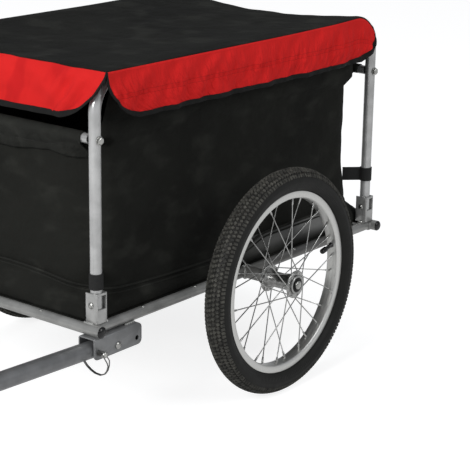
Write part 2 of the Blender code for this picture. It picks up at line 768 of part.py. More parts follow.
def cargo_bag():
    shape = bmesh.new()
    rows = []
    for part in BAG_ROW_HEIGHTS:
        ring = []
        for corner in range(4):
            for step in range(BAG_COLUMNS_PER_CORNER):
                top = bag_top_z(corner, step)
                z = BAG_FLOOR_Z + CLOTH / 2 + (top - BAG_FLOOR_Z - CLOTH / 2) * part
                share = (z - BAG_FLOOR_Z) / (HOOP_TOP_Z - BAG_FLOOR_Z)
                x, y = bag_corner(share, corner, step)
                ring.append(shape.verts.new((x, y, z)))
        rows.append(ring)
    count = len(rows[0])
    for low, high in zip(rows, rows[1:]):
        for i in range(count):
            j = (i + 1) % count
            shape.faces.new((low[i], low[j], high[j], high[i]))
    shape.faces.new(list(reversed(rows[0])))
    mesh = bpy.data.meshes.new("cargo_bag")
    shape.to_mesh(mesh)
    shape.free()
    bag = place("cargo_bag", mesh, BLACK_CLOTH)
    wall = bag.modifiers.new("cloth", "SOLIDIFY")
    wall.thickness = CLOTH
    wall.offset = 0.0
    wall.use_even_offset = True
    for side, x in (("left", HOOP_X), ("right", -HOOP_X)):
        sleeve = tube(
            f"{side}_bag_sleeve",
            HOOP_TUBE_RADIUS + SLEEVE_GAP + CLOTH,
            CLOTH,
            (x, -SIDE_SLEEVE_HALF, HOOP_TOP_Z),
            (x, SIDE_SLEEVE_HALF, HOOP_TOP_Z),
            BLACK_CLOTH,
        )
        fuse(bag, sleeve)
    for end, y in (("front", -HOOP_Y), ("rear", HOOP_Y)):
        sleeve = rod(
            f"{end}_bag_sleeve",
            CROSSBAR_RADIUS + SLEEVE_GAP + CLOTH,
            (-END_SLEEVE_HALF, y, CROSSBAR_Z),
            (END_SLEEVE_HALF, y, CROSSBAR_Z),
        )
        inwards = -1 if y > 0 else 1
        outer_y = y - inwards * (CROSSBAR_RADIUS + SLEEVE_GAP + CLOTH * 0.6)
        inner_y = y + inwards * (CROSSBAR_RADIUS + SLEEVE_GAP + CLOTH * 0.6)
        low_y = inwards * -BAG_WAIST_HALF_Y
        section = [
            (outer_y, CROSSBAR_Z),
            (inner_y, CROSSBAR_Z),
            (low_y, CROSSBAR_Z - HEM_DROP),
            (low_y - inwards * CLOTH * 2, CROSSBAR_Z - HEM_DROP),
        ]
        hem = plate(f"{end}_bag_hem", section, 2 * HEM_HALF, (0.0, 0.0, 0.0), "X", collection=CUTTERS)
        bore = rod(
            f"{end}_bag_sleeve_bore",
            CROSSBAR_RADIUS + SLEEVE_GAP,
            (-END_SLEEVE_HALF - 0.01, y, CROSSBAR_Z),
            (END_SLEEVE_HALF + 0.01, y, CROSSBAR_Z),
            collection=CUTTERS,
        )
        fuse(bag, sleeve, hem)
        cut(bag, bore)


cargo_bag()

board_low = (-BAG_WAIST_HALF_X + FLOOR_BOARD_MARGIN, -BAG_WAIST_HALF_Y + FLOOR_BOARD_MARGIN)
board_high = (-board_low[0], -board_low[1])
FLOOR_BOARD_Z = BAG_FLOOR_Z + CLOTH + SEAT_GAP
plate(
    "floor_board",
    rounded_rectangle(board_low, board_high, BAG_WAIST_CORNER, 4),
    FLOOR_BOARD_THICKNESS,
    (0.0, 0.0, FLOOR_BOARD_Z + FLOOR_BOARD_THICKNESS / 2),
    "Z",
    BOARD,
)


def strap(end, side, outwards, y, z):
    """A loop of webbing round the post, sewn flat and run to the bag's corner."""
    name = f"{end}_{side}_strap"
    post = Vector((outwards * HOOP_X, y, z))
    inner = HOOP_TUBE_RADIUS + SEAT_GAP
    outer = inner + STRAP_THICKNESS
    half = STRAP_HEIGHT / 2
    rise = Vector((0.0, 0.0, half))
    loop = tube(name, outer, STRAP_THICKNESS, post - rise, post + rise, WEBBING)
    share = (z - half - BAG_FLOOR_Z) / (HOOP_TOP_Z - BAG_FLOOR_Z)
    half_x, half_y, radius = bag_outline(share)
    corner = Vector((outwards * (half_x - radius), math.copysign(half_y - radius, y), z))
    inwards = (corner - post).normalized()
    tail_end = corner - inwards * (radius + CLOTH / 2 + SEAT_GAP)
    tail_start = post + inwards * (inner + STRAP_THICKNESS / 2)
    length = (tail_end - tail_start).length
    tail = box(
        name + "_tail",
        (0.0, -STRAP_THICKNESS, -half),
        (length, STRAP_THICKNESS, half),
        WEBBING,
    )
    angle = math.atan2(inwards.y, inwards.x)
    turn = Matrix.Rotation(angle, 4, "Z")
    tail.matrix_world = Matrix.Translation(tail_start) @ turn @ Matrix.Translation((length / 2, 0.0, 0.0))
    fuse(loop, tail)


for end, y, z in (("front", -HOOP_Y, FRONT_STRAP_Z), ("rear", HOOP_Y, REAR_STRAP_Z)):
    for side, outwards in (("left", 1), ("right", -1)):
        strap(end, side, outwards, y, z)


# Cover: a sheet that sags between the hoops, with a flap on each side. The flaps hang in shallow
# folds, and their corners are cut round so that they leave a gap at each post.
COVER_BEND_Y = HOOP_Y - HOOP_BEND_RADIUS
COVER_BEND_Z = HOOP_TOP_Z - HOOP_BEND_RADIUS
COVER_BEND_RADIUS = COVER_TOP_Z - COVER_THICKNESS / 2 - COVER_BEND_Z
COVER_LOW_Z = COVER_TOP_Z - COVER_FLAP_DEPTH


def cover_rear_y(x):
    """The rear edge of the top, which is pulled forward at its two corners."""
    over_hoop = HOOP_X + HOOP_TUBE_RADIUS
    towards_corner = max(abs(x) - over_hoop, 0.0) / (COVER_HALF_X - over_hoop)
    return COVER_REAR_Y - COVER_CORNER_PULL * towards_corner


def cover_top_z(x, y):
    across = 1.0 - min(abs(x) / HOOP_X, 1.0) ** 2
    middle = (COVER_REAR_Y - COVER_FRONT_Y) / 2
    along = 1.0 - min(abs(y - middle) / (middle + COVER_FRONT_Y), 1.0) ** 2
    rear = max(y / COVER_REAR_Y, 0.0) ** 3
    sag = across * (COVER_SAG_MIDDLE * along + COVER_SAG_REAR * rear)
    past_hoop = max(abs(x) - HOOP_X, 0.0) / (COVER_HALF_X - HOOP_X)
    past_front = max(-y - COVER_BEND_Y, 0.0) / (COVER_FRONT_Y - COVER_BEND_Y)
    past_rear = max(y - COVER_BEND_Y, 0.0)
    bend = COVER_BEND_RADIUS - math.sqrt(COVER_BEND_RADIUS**2 - past_rear**2)
    droop_y = max(y - COVER_DROOP_START, 0.0) / (COVER_REAR_Y - COVER_CORNER_PULL - COVER_DROOP_START)
    droop = COVER_CORNER_DROOP * past_hoop**2 * min(droop_y, 1.2) ** 1.5
    edge = COVER_EDGE_DROP * max(past_hoop, past_front) ** 2
    return COVER_BEND_Z + COVER_BEND_RADIUS - sag - bend - droop - edge


def cover_side_point(y, share, outwards):
    """A point on a side flap, from its crease down. Both of its ends are cut round."""
    rear_y = cover_rear_y(COVER_HALF_X)
    crease_z = cover_top_z(COVER_HALF_X, y)
    front_inset = COVER_SIDE_INSET * (0.64 * share + 0.36 * share**4)
    rear_inset = COVER_SIDE_INSET * share**2
    along = (y + COVER_FRONT_Y) / (rear_y + COVER_FRONT_Y)
    at = -COVER_FRONT_Y + front_inset + along * (rear_y + COVER_FRONT_Y - front_inset - rear_inset)
    fold = COVER_FOLD_DEPTH * share * math.sin(2 * math.pi * at / COVER_FOLD_LENGTH + outwards)
    x = COVER_HALF_X + 0.0010 * share + max(fold, -0.0005)
    return outwards * x, at, crease_z + (COVER_LOW_Z - crease_z) * share


def cover_end_point(x, share, outwards):
    """A point on the front or rear flap. The front one hangs ahead of the posts, and the rear one
    follows the bend of the hoops."""
    crease_y = cover_rear_y(x) if outwards > 0 else COVER_FRONT_Y
    crease_z = cover_top_z(x, outwards * crease_y)
    z = crease_z + (COVER_LOW_Z - crease_z) * share
    shape = share**2 if outwards > 0 else 0.6 * share + 0.4 * share**4
    at = x * (1.0 - COVER_END_INSET * shape / COVER_HALF_X)
    fold = COVER_FOLD_DEPTH * share * math.sin(2 * math.pi * at / COVER_FOLD_LENGTH + outwards)
    if outwards > 0:
        rise = min(max(z - COVER_BEND_Z, 0.0), COVER_BEND_RADIUS)
        hang_y = COVER_BEND_Y + math.sqrt(COVER_BEND_RADIUS**2 - rise**2)
        y = crease_y + (hang_y - crease_y) * min(share * COVER_FLAP_ROWS, 1.0)
    else:
        y = COVER_FRONT_Y + COVER_FRONT_KICK * math.sin(min(share * 1.25, 1.0) * math.pi / 2)
    return at, outwards * (y + max(fold, -0.0002)), z


def cover():
    shape = bmesh.new()

    def sheet(points):
        grid = [[shape.verts.new(point) for point in row] for row in points]
        for low, high in zip(grid, grid[1:]):
            for i in range(len(low) - 1):
                shape.faces.new((low[i], low[i + 1], high[i + 1], high[i]))

    inner_x = HOOP_X - HOOP_TUBE_RADIUS
    half_columns = [inner_x * i / COVER_SPANS_X for i in range(1, COVER_SPANS_X + 1)]
    half_columns += [HOOP_X, HOOP_X + HOOP_TUBE_RADIUS, COVER_HALF_X]
    columns = [-x for x in reversed(half_columns)] + [0.0] + half_columns
    front_y = -COVER_FRONT_Y
    bend_y = COVER_BEND_Y - 0.040
    rows_y = [front_y, (front_y - COVER_BEND_Y) / 2]
    rows_y += [-COVER_BEND_Y + (bend_y + COVER_BEND_Y) * i / COVER_SPANS_Y for i in range(COVER_SPANS_Y + 1)]
    near_rear = [0.45, 0.70, 0.85, 1.0]

    def row_positions(x):
        rear_y = cover_rear_y(x)
        return rows_y + [bend_y + (rear_y - bend_y) * part for part in near_rear]

    top = []
    for row in range(len(rows_y) + len(near_rear)):
        line = []
        for x in columns:
            y = row_positions(x)[row]
            line.append((x, y, cover_top_z(x, y)))
        top.append(line)
    sheet(top)
    shares = [step / COVER_FLAP_ROWS for step in range(COVER_FLAP_ROWS + 1)]
    side_rows = row_positions(COVER_HALF_X)
    for outwards in (1, -1):
        sheet([[cover_side_point(y, share, outwards) for y in side_rows] for share in shares])
        sheet([[cover_end_point(x, share, outwards) for x in columns] for share in shares])
    bmesh.ops.remove_doubles(shape, verts=shape.verts, dist=0.00001)
    bmesh.ops.recalc_face_normals(shape, faces=shape.faces)
    mesh = bpy.data.meshes.new("cover")
    shape.to_mesh(mesh)
    shape.free()
    made = place("cover", mesh, RED_CLOTH)
    cloth = made.modifiers.new("cloth", "SOLIDIFY")
    cloth.thickness = COVER_THICKNESS
    cloth.offset = 0.0


cover()


# Tow channel, tow bar, pivot, lock pin and bail
CHANNEL_TOP_Z = AXLE_HEIGHT - FRAME_TUBE_RADIUS - SEAT_GAP
CHANNEL_LOW_Z = CHANNEL_TOP_Z - CHANNEL_HEIGHT
CHANNEL_REAR_Y = CHANNEL_FRONT_Y + CHANNEL_LENGTH


def through_hole(name, radius, y, z, half_length):
    return rod(
        name,
        radius,
        (CHANNEL_X - half_length, y, z),
        (CHANNEL_X + half_length, y, z),
        steps=10,
        collection=CUTTERS,
    )


def tow_channel():
    """A folded channel, open below and at both ends, with round corners on its side plates."""
    side_view = rounded_rectangle(
        (CHANNEL_FRONT_Y, CHANNEL_LOW_Z), (CHANNEL_REAR_Y, CHANNEL_TOP_Z), CHANNEL_CORNER, 4
    )
    square_front = [(y, z) for y, z in side_view if y > CHANNEL_FRONT_Y + CHANNEL_CORNER or z < PIVOT_Z]
    square_front.append((CHANNEL_FRONT_Y, CHANNEL_TOP_Z))
    middle = (CHANNEL_FRONT_Y + CHANNEL_REAR_Y) / 2
    centre_z = (CHANNEL_LOW_Z + CHANNEL_TOP_Z) / 2
    outline = sorted(square_front, key=lambda p: math.atan2(p[1] - centre_z, p[0] - middle))
    made = plate(
        "tow_channel",
        outline,
        2 * CHANNEL_HALF_WIDTH,
        (CHANNEL_X, 0.0, 0.0),
        "X",
        FRAME_PAINT,
    )
    outer = CHANNEL_HALF_WIDTH
    inner = CHANNEL_HALF_WIDTH - CHANNEL_WALL
    section = rounded_rectangle(
        (-outer, CHANNEL_LOW_Z - CUTTER_REACH), (outer, CHANNEL_TOP_Z), CHANNEL_BEND, 4
    )
    folded = plate(
        "tow_channel_section",
        section,
        CHANNEL_LENGTH + 2 * CUTTER_REACH,
        (CHANNEL_X, middle, 0.0),
        "Y",
        collection=CUTTERS,
    )
    inside = plate(
        "tow_channel_inside",
        rounded_rectangle(
            (-inner, CHANNEL_LOW_Z - 2 * CUTTER_REACH),
            (inner, CHANNEL_TOP_Z - CHANNEL_WALL),
            CHANNEL_BEND - CHANNEL_WALL,
            3,
        ),
        CHANNEL_LENGTH + 4 * CUTTER_REACH,
        (CHANNEL_X, middle, 0.0),
        "Y",
        collection=CUTTERS,
    )
    boolean(made, folded, "INTERSECT")
    cut(made, inside)
    holes = (
        ("pivot_hole", PIVOT_RADIUS + SEAT_GAP, PIVOT_Y),
        ("lock_hole", LOCK_PIN_RADIUS + RUNNING_GAP, PIVOT_Y - LOCK_PIN_DISTANCE),
        ("spare_hole", LOCK_PIN_RADIUS + RUNNING_GAP, PIVOT_Y + LOCK_PIN_DISTANCE),
    )
    for name, radius, y in holes:
        cut(made, through_hole(name, radius, y, PIVOT_Z, 2 * CHANNEL_HALF_WIDTH))


def lock_slot():
    """The slot in the tow bar that lets it swing down past the lock pin. It follows an arc about the
    pivot, from the pin to above the bar."""
    half = LOCK_PIN_RADIUS + RUNNING_GAP
    start = math.pi
    end = math.pi - LOCK_SLOT_ANGLE
    outer = arc((PIVOT_Y, PIVOT_Z), LOCK_PIN_DISTANCE + half, start, end, 7)
    inner = arc((PIVOT_Y, PIVOT_Z), LOCK_PIN_DISTANCE - half, end, start, 7)
    round_end = arc((PIVOT_Y - LOCK_PIN_DISTANCE, PIVOT_Z), half, 2 * math.pi, math.pi, 7)[1:-1]
    return plate(
        "lock_slot",
        outer + inner + round_end,
        4 * TOW_BAR_RADIUS,
        (CHANNEL_X, 0.0, 0.0),
        "X",
        collection=CUTTERS,
    )


def tow_bar():
    forwards = Vector((0.0, -math.cos(TOW_BAR_TILT), math.sin(TOW_BAR_TILT)))
    first_bend = PIVOT + forwards * (PIVOT_Y - TOW_BAR_BEND_Y) / math.cos(TOW_BAR_TILT)
    corners = [
        PIVOT - forwards * TOW_BAR_TAIL,
        first_bend,
        TOW_BAR_END + Vector((0.0, TOW_BAR_END_STRAIGHT, 0.0)),
        TOW_BAR_END,
    ]
    bar = bent_tube(
        "tow_bar",
        corners,
        TOW_BAR_BEND_RADIUS,
        5,
        TOW_BAR_RADIUS,
        TOW_BAR_WALL,
        TOW_PAINT,
    )
    pivot_hole = through_hole("bar_pivot_hole", PIVOT_RADIUS + RUNNING_GAP, PIVOT_Y, PIVOT_Z, 0.03)
    cut(bar, pivot_hole, lock_slot())


def domed_pin(name, radius, head_radius, head_height, half_length, centre, finish):
    """A pin across the trailer with a low dome at each end."""
    seat = half_length + SEAT_GAP
    return turned(
        name,
        [
            (0.0, seat + head_height),
            (head_radius * 0.6, seat + head_height * 0.85),
            (head_radius, seat),
            (radius, seat),
            (radius, -seat),
            (head_radius, -seat),
            (head_radius * 0.6, -seat - head_height * 0.85),
            (0.0, -seat - head_height),
        ],
        centre,
        (1, 0, 0),
        finish,
    )


LOCK_PIN_HEAD_X = CHANNEL_X + CHANNEL_HALF_WIDTH + SEAT_GAP
BAIL_HINGE_X = LOCK_PIN_HEAD_X + (LOCK_PIN_NECK_LENGTH + LOCK_PIN_HEAD_LENGTH) / 2
LOCK_PIN_TIP_X = CHANNEL_X - CHANNEL_HALF_WIDTH - LOCK_PIN_TIP
BAIL_AXIS = Vector((0.0, math.cos(BAIL_TILT), -math.sin(BAIL_TILT)))


def lock_pin():
    """The head has a cross hole, which the wire bail turns in."""
    pin = turned(
        "lock_pin",
        [
            (0.0, LOCK_PIN_HEAD_LENGTH),
            (LOCK_PIN_HEAD_RADIUS * 0.8, LOCK_PIN_HEAD_LENGTH),
            (LOCK_PIN_HEAD_RADIUS, LOCK_PIN_HEAD_LENGTH * 0.92),
            (LOCK_PIN_HEAD_RADIUS, LOCK_PIN_NECK_LENGTH),
            (LOCK_PIN_NECK_RADIUS, LOCK_PIN_NECK_LENGTH),
            (LOCK_PIN_NECK_RADIUS, 0.0),
            (LOCK_PIN_RADIUS, 0.0),
            (LOCK_PIN_RADIUS, LOCK_PIN_TIP_X - LOCK_PIN_HEAD_X + LOCK_PIN_RADIUS / 2),
            (LOCK_PIN_RADIUS / 2, LOCK_PIN_TIP_X - LOCK_PIN_HEAD_X),
            (0.0, LOCK_PIN_TIP_X - LOCK_PIN_HEAD_X),
        ],
        (LOCK_PIN_HEAD_X, LOCK_PIN.y, LOCK_PIN.z),
        (1, 0, 0),
        ZINC,
        steps=12,
    )
    middle = Vector((BAIL_HINGE_X, LOCK_PIN.y, LOCK_PIN.z))
    hole = rod(
        "bail_hole",
        BAIL_WIRE_RADIUS + RUNNING_GAP,
        middle - BAIL_AXIS * 0.02,
        middle + BAIL_AXIS * 0.02,
        steps=HOLE_STEPS,
        collection=CUTTERS,
    )
    cut(pin, hole)


def lock_pin_bail():
    """A wire loop through the pin's head. Its two legs meet under the head and run side by side below
    the channel and up to the pin's tip, where they part and rest against its underside."""
    tip_x = LOCK_PIN_TIP_X + 0.0025
    reach = BAIL_HINGE_X - tip_x
    tip_drop = LOCK_PIN_RADIUS + BAIL_WIRE_RADIUS + RUNNING_GAP
    together = 1.3 * BAIL_WIRE_RADIUS
    stations = (
        (0.00, 0.00, BAIL_HALF_WIDTH, 1.0),
        (-0.10, 0.16, BAIL_HALF_WIDTH, 1.0),
        (-0.17, 0.34, together * 2, 0.3),
        (-0.18, 0.48, together, 0.0),
        (-0.13, 0.70, together, 0.0),
        (-0.03, 0.89, together, 0.0),
        (0.13, 1.00, together, 0.0),
        (0.34, 0.99, together, 0.0),
        (0.52, 0.90, together, 0.0),
        (0.68, 0.76, together, 0.0),
        (0.82, 0.57, together, 0.0),
        (0.92, 0.38, together * 1.5, 0.0),
        (1.00, tip_drop / BAIL_DEPTH, LOCK_PIN_RADIUS, 0.0),
    )
    sides = {1: [], -1: []}
    for back, down, half, tilted in stations:
        x = BAIL_HINGE_X - reach * back
        z = LOCK_PIN.z - BAIL_DEPTH * down
        lean = BAIL_TILT * tilted
        for sign in (1, -1):
            offset = Vector((0.0, math.cos(lean), -math.sin(lean))) * half * sign
            sides[sign].append(Vector((x, LOCK_PIN.y, z)) + offset)
    loop = sides[-1] + list(reversed(sides[1]))
    wire("lock_pin_bail", loop, BAIL_WIRE_RADIUS, ZINC, 1, cyclic=True)


tow_channel()
tow_bar()
domed_pin(
    "tow_bar_pivot_bolt",
    PIVOT_RADIUS,
    PIVOT_HEAD_RADIUS,
    PIVOT_HEAD_HEIGHT,
    CHANNEL_HALF_WIDTH,
    PIVOT,
    ZINC,
)
lock_pin()
lock_pin_bail()


# Hitch
def ear_outline(pivot, radius, back_y, per_end=7):
    """A plate's outline with a round nose about the pivot and a square back."""
    nose = arc((pivot.y, pivot.z), radius, -math.pi / 2, -3 * math.pi / 2, per_end)
    return [(back_y, pivot.z + radius), (back_y, pivot.z - radius)] + nose


def tow_bar_fork():
    """A plug in the tow bar's end with a block and two ears."""
    plug_radius = (TOW_BAR_RADIUS - TOW_BAR_WALL) * math.cos(math.pi / 8) - SEAT_GAP
    face = TOW_BAR_END.y - SEAT_GAP
    fork = box(
        "tow_bar_fork",
        (TOW_BAR_END.x - FORK_GAP / 2 - FORK_EAR, face - FORK_BLOCK, TOW_BAR_END.z - FORK_HEIGHT / 2),
        (TOW_BAR_END.x + FORK_GAP / 2 + FORK_EAR, face, TOW_BAR_END.z + FORK_HEIGHT / 2),
        ZINC,
    )
    plug = rod(
        "fork_plug",
        plug_radius,
        (TOW_BAR_END.x, face - FORK_BLOCK / 2, TOW_BAR_END.z),
        (TOW_BAR_END.x, TOW_BAR_END.y + FORK_PLUG, TOW_BAR_END.z),
        collection=CUTTERS,
    )
    fuse(fork, plug)
    for side, outwards in (("left", 1), ("right", -1)):
        ear = plate(
            f"{side}_fork_ear",
            ear_outline(HITCH_PITCH, FORK_HEIGHT / 2 - PLATE_TUCK, face - FORK_BLOCK / 2),
            FORK_EAR,
            (TOW_BAR_END.x + outwards * (FORK_GAP + FORK_EAR) / 2, 0.0, 0.0),
            "X",
            collection=CUTTERS,
        )
        fuse(fork, ear)
    hole = rod(
        "fork_hole",
        HITCH_BOLT_RADIUS + SEAT_GAP,
        HITCH_PITCH - Vector((0.03, 0.0, 0.0)),
        HITCH_PITCH + Vector((0.03, 0.0, 0.0)),
        collection=CUTTERS,
    )
    cut(fork, hole)


def hitch_knuckle():
    half_width = FORK_GAP / 2 - KNUCKLE_SIDE_GAP
    knuckle = tube(
        "hitch_knuckle",
        KNUCKLE_RADIUS,
        KNUCKLE_RADIUS - HITCH_BOLT_RADIUS - RUNNING_GAP,
        HITCH_PITCH - Vector((half_width, 0.0, 0.0)),
        HITCH_PITCH + Vector((half_width, 0.0, 0.0)),
        DARK_STEEL,
    )
    nose = arc((HITCH_YAW.x, HITCH_YAW.y), half_width - PLATE_TUCK, 0.0, -math.pi, 7)
    tongue = plate(
        "knuckle_tongue",
        nose + [
            (HITCH_YAW.x - half_width + PLATE_TUCK, HITCH_PITCH.y - 0.6 * KNUCKLE_RADIUS),
            (HITCH_YAW.x + half_width - PLATE_TUCK, HITCH_PITCH.y - 0.6 * KNUCKLE_RADIUS),
        ],
        KNUCKLE_THICKNESS,
        (0.0, 0.0, HITCH_PITCH.z),
        "Z",
        collection=CUTTERS,
    )
    pin_hole = rod(
        "knuckle_pin_hole",
        HITCH_PIN_RADIUS + RUNNING_GAP,
        HITCH_YAW - Vector((0.0, 0.0, 0.03)),
        HITCH_YAW + Vector((0.0, 0.0, 0.03)),
        collection=CUTTERS,
    )
    fuse(knuckle, tongue)
    cut(knuckle, pin_hole)


LUG_INNER = KNUCKLE_THICKNESS / 2 + RUNNING_GAP
LUG_OUTER = LUG_INNER + BRACKET_PLATE
BRACKET_FRONT_Y = HITCH_YAW.y - BRACKET_WEB_DISTANCE - BRACKET_PLATE_LENGTH
BICYCLE_AXLE = Vector((HITCH_YAW.x, BRACKET_FRONT_Y + BRACKET_PLATE_HALF, HITCH_YAW.z))


def hitch_bracket():
    """Two level lugs about the hitch pin, joined in front to an upright plate that the bicycle's
    rear axle passes through."""
    web_y = HITCH_YAW.y - BRACKET_WEB_DISTANCE
    bracket = plate(
        "hitch_bracket",
        ear_outline(BICYCLE_AXLE, BRACKET_PLATE_HALF, web_y, 9),
        BRACKET_PLATE,
        (HITCH_YAW.x, 0.0, 0.0),
        "X",
        ZINC,
    )
    lug_outline = arc((HITCH_YAW.x, HITCH_YAW.y), BRACKET_LUG_HALF, 0.0, math.pi, 7)
    lug_outline += [
        (HITCH_YAW.x - BRACKET_LUG_HALF, web_y - BRACKET_PLATE / 2),
        (HITCH_YAW.x + BRACKET_LUG_HALF, web_y - BRACKET_PLATE / 2),
    ]
    lugs = plate(
        "bracket_lugs",
        lug_outline,
        2 * LUG_OUTER,
        (0.0, 0.0, HITCH_YAW.z),
        "Z",
        collection=CUTTERS,
    )
    slot = box(
        "bracket_slot",
        (HITCH_YAW.x - 2 * BRACKET_LUG_HALF, web_y + BRACKET_PLATE / 2, HITCH_YAW.z - LUG_INNER),
        (HITCH_YAW.x + 2 * BRACKET_LUG_HALF, web_y + 3 * BRACKET_WEB_DISTANCE, HITCH_YAW.z + LUG_INNER),
        collection=CUTTERS,
    )
    pin_hole = rod(
        "bracket_pin_hole",
        HITCH_PIN_RADIUS + SEAT_GAP,
        HITCH_YAW - Vector((0.0, 0.0, 0.03)),
        HITCH_YAW + Vector((0.0, 0.0, 0.03)),
        collection=CUTTERS,
    )
    axle_hole = rod(
        "bracket_axle_hole",
        BRACKET_AXLE_HOLE,
        BICYCLE_AXLE - Vector((0.03, 0.0, 0.0)),
        BICYCLE_AXLE + Vector((0.03, 0.0, 0.0)),
        collection=CUTTERS,
    )
    cut(lugs, slot)
    fuse(bracket, as_mesh(lugs))
    cut(bracket, pin_hole, axle_hole)


def hitch_pin():
    """A round pin that drops through the lugs and the knuckle, with a ring to pull it by."""
    seat = LUG_OUTER + SEAT_GAP
    pin = turned(
        "hitch_pin",
        [
            (0.0, seat + HITCH_PIN_ABOVE),
            (HITCH_PIN_RADIUS + 0.002, seat + HITCH_PIN_ABOVE),
            (HITCH_PIN_RADIUS + 0.002, seat),
            (HITCH_PIN_RADIUS, seat),
            (HITCH_PIN_RADIUS, -LUG_OUTER - HITCH_PIN_BELOW + 0.002),
            (HITCH_PIN_RADIUS - 0.002, -LUG_OUTER - HITCH_PIN_BELOW),
            (0.0, -LUG_OUTER - HITCH_PIN_BELOW),
        ],
        HITCH_YAW,
        (0, 0, 1),
        ZINC,
        steps=16,
    )
    top = HITCH_YAW.z + seat + HITCH_PIN_ABOVE
    centre_z = top + HITCH_PIN_GRIP_RADIUS
    circle = arc((HITCH_YAW.x, centre_z), HITCH_PIN_GRIP_RADIUS, 0.0, 2 * math.pi, 13)[:-1]
    ring = wire(
        "hitch_pin_ring",
        [Vector((x, HITCH_YAW.y, z)) for x, z in circle],
        0.0016,
        ZINC,
        1,
        cyclic=True,
        collection=CUTTERS,
    )
    fuse(pin, ring)


tow_bar_fork()
domed_pin(
    "hitch_pivot_bolt",
    HITCH_BOLT_RADIUS,
    HITCH_BOLT_RADIUS + 0.003,
    0.003,
    FORK_GAP / 2 + FORK_EAR,
    HITCH_PITCH,
    ZINC,
)
hitch_knuckle()
hitch_bracket()
hitch_pin()


# Wheels
def tyre(side, outwards):
    """An open tyre: two beads inside the rim, a round casing and a crowned tread."""
    half = TYRE_WIDTH / 2
    bead_r = RIM_RADIUS - RIM_DEPTH + 0.0080
    bead_x = RIM_WIDTH / 2 - RIM_WALL - SEAT_GAP - 0.0002
    middle_r = TYRE_RADIUS - half
    outer = [
        (bead_r, bead_x),
        (RIM_RADIUS + 0.0004, bead_x),
        (middle_r - 0.0020, half),
        (middle_r + half * 0.62, half * 0.84),
        (TYRE_RADIUS, half * 0.30),
    ]
    inner = [
        (bead_r, bead_x - TYRE_WALL),
        (RIM_RADIUS + 0.0004, bead_x - TYRE_WALL),
        (middle_r - 0.0020, half - TYRE_WALL),
        (middle_r + half * 0.50, half * 0.84 - TYRE_WALL),
    ]
    crown = [(TYRE_RADIUS - 2.2 * TYRE_WALL, 0.0)]
    profile = outer + [(r, -x) for r, x in reversed(outer)]
    profile += [(r, -x) for r, x in inner] + crown + [(r, x) for r, x in reversed(inner)]
    turned(
        f"{side}_tyre",
        profile,
        (outwards * WHEEL_PLANE_X, 0.0, AXLE_HEIGHT),
        (1, 0, 0),
        RUBBER,
        steps=WHEEL_STEPS,
    )


def rim(side, outwards):
    """A single-wall alloy rim: hooked edges, bead seats, a well and a rounded spoke bed."""
    half = RIM_WIDTH / 2
    bed = RIM_INNER_RADIUS
    seat = bed + 0.0070
    outer = [(RIM_RADIUS, half - RIM_WALL), (RIM_RADIUS, half), (bed + 0.0045, half), (bed, 0.0060)]
    inner = [(bed + 0.0026, 0.0045), (seat, half - RIM_WALL)]
    profile = outer + [(r, -x) for r, x in reversed(outer)]
    profile += [(r, -x) for r, x in reversed(inner)] + inner
    made = turned(
        f"{side}_rim",
        list(reversed(profile)),
        (outwards * WHEEL_PLANE_X, 0.0, AXLE_HEIGHT),
        (1, 0, 0),
        ALUMINIUM,
        steps=WHEEL_STEPS,
    )
    towards_valve = Vector((0.0, math.cos(VALVE_ANGLE), math.sin(VALVE_ANGLE)))
    centre = Vector((outwards * WHEEL_PLANE_X, 0.0, AXLE_HEIGHT))
    hole = rod(
        f"{side}_valve_hole",
        VALVE_STEM_RADIUS + SEAT_GAP,
        centre + towards_valve * (RIM_INNER_RADIUS - 0.01),
        centre + towards_valve * (RIM_RADIUS + 0.01),
        steps=HOLE_STEPS,
        collection=CUTTERS,
    )
    cut(made, hole)
    root = RIM_INNER_RADIUS + 0.0065
    cap = RIM_INNER_RADIUS - VALVE_LENGTH + VALVE_CAP_LENGTH
    turned(
        f"{side}_valve",
        [
            (0.0, root),
            (VALVE_STEM_RADIUS, root),
            (VALVE_STEM_RADIUS, cap),
            (VALVE_CAP_RADIUS, cap),
            (VALVE_CAP_RADIUS, cap - VALVE_CAP_LENGTH + 0.002),
            (VALVE_CAP_RADIUS - 0.0015, cap - VALVE_CAP_LENGTH),
            (0.0, cap - VALVE_CAP_LENGTH),
        ],
        centre,
        towards_valve,
        BLACK_PLASTIC,
        steps=HOLE_STEPS,
    )


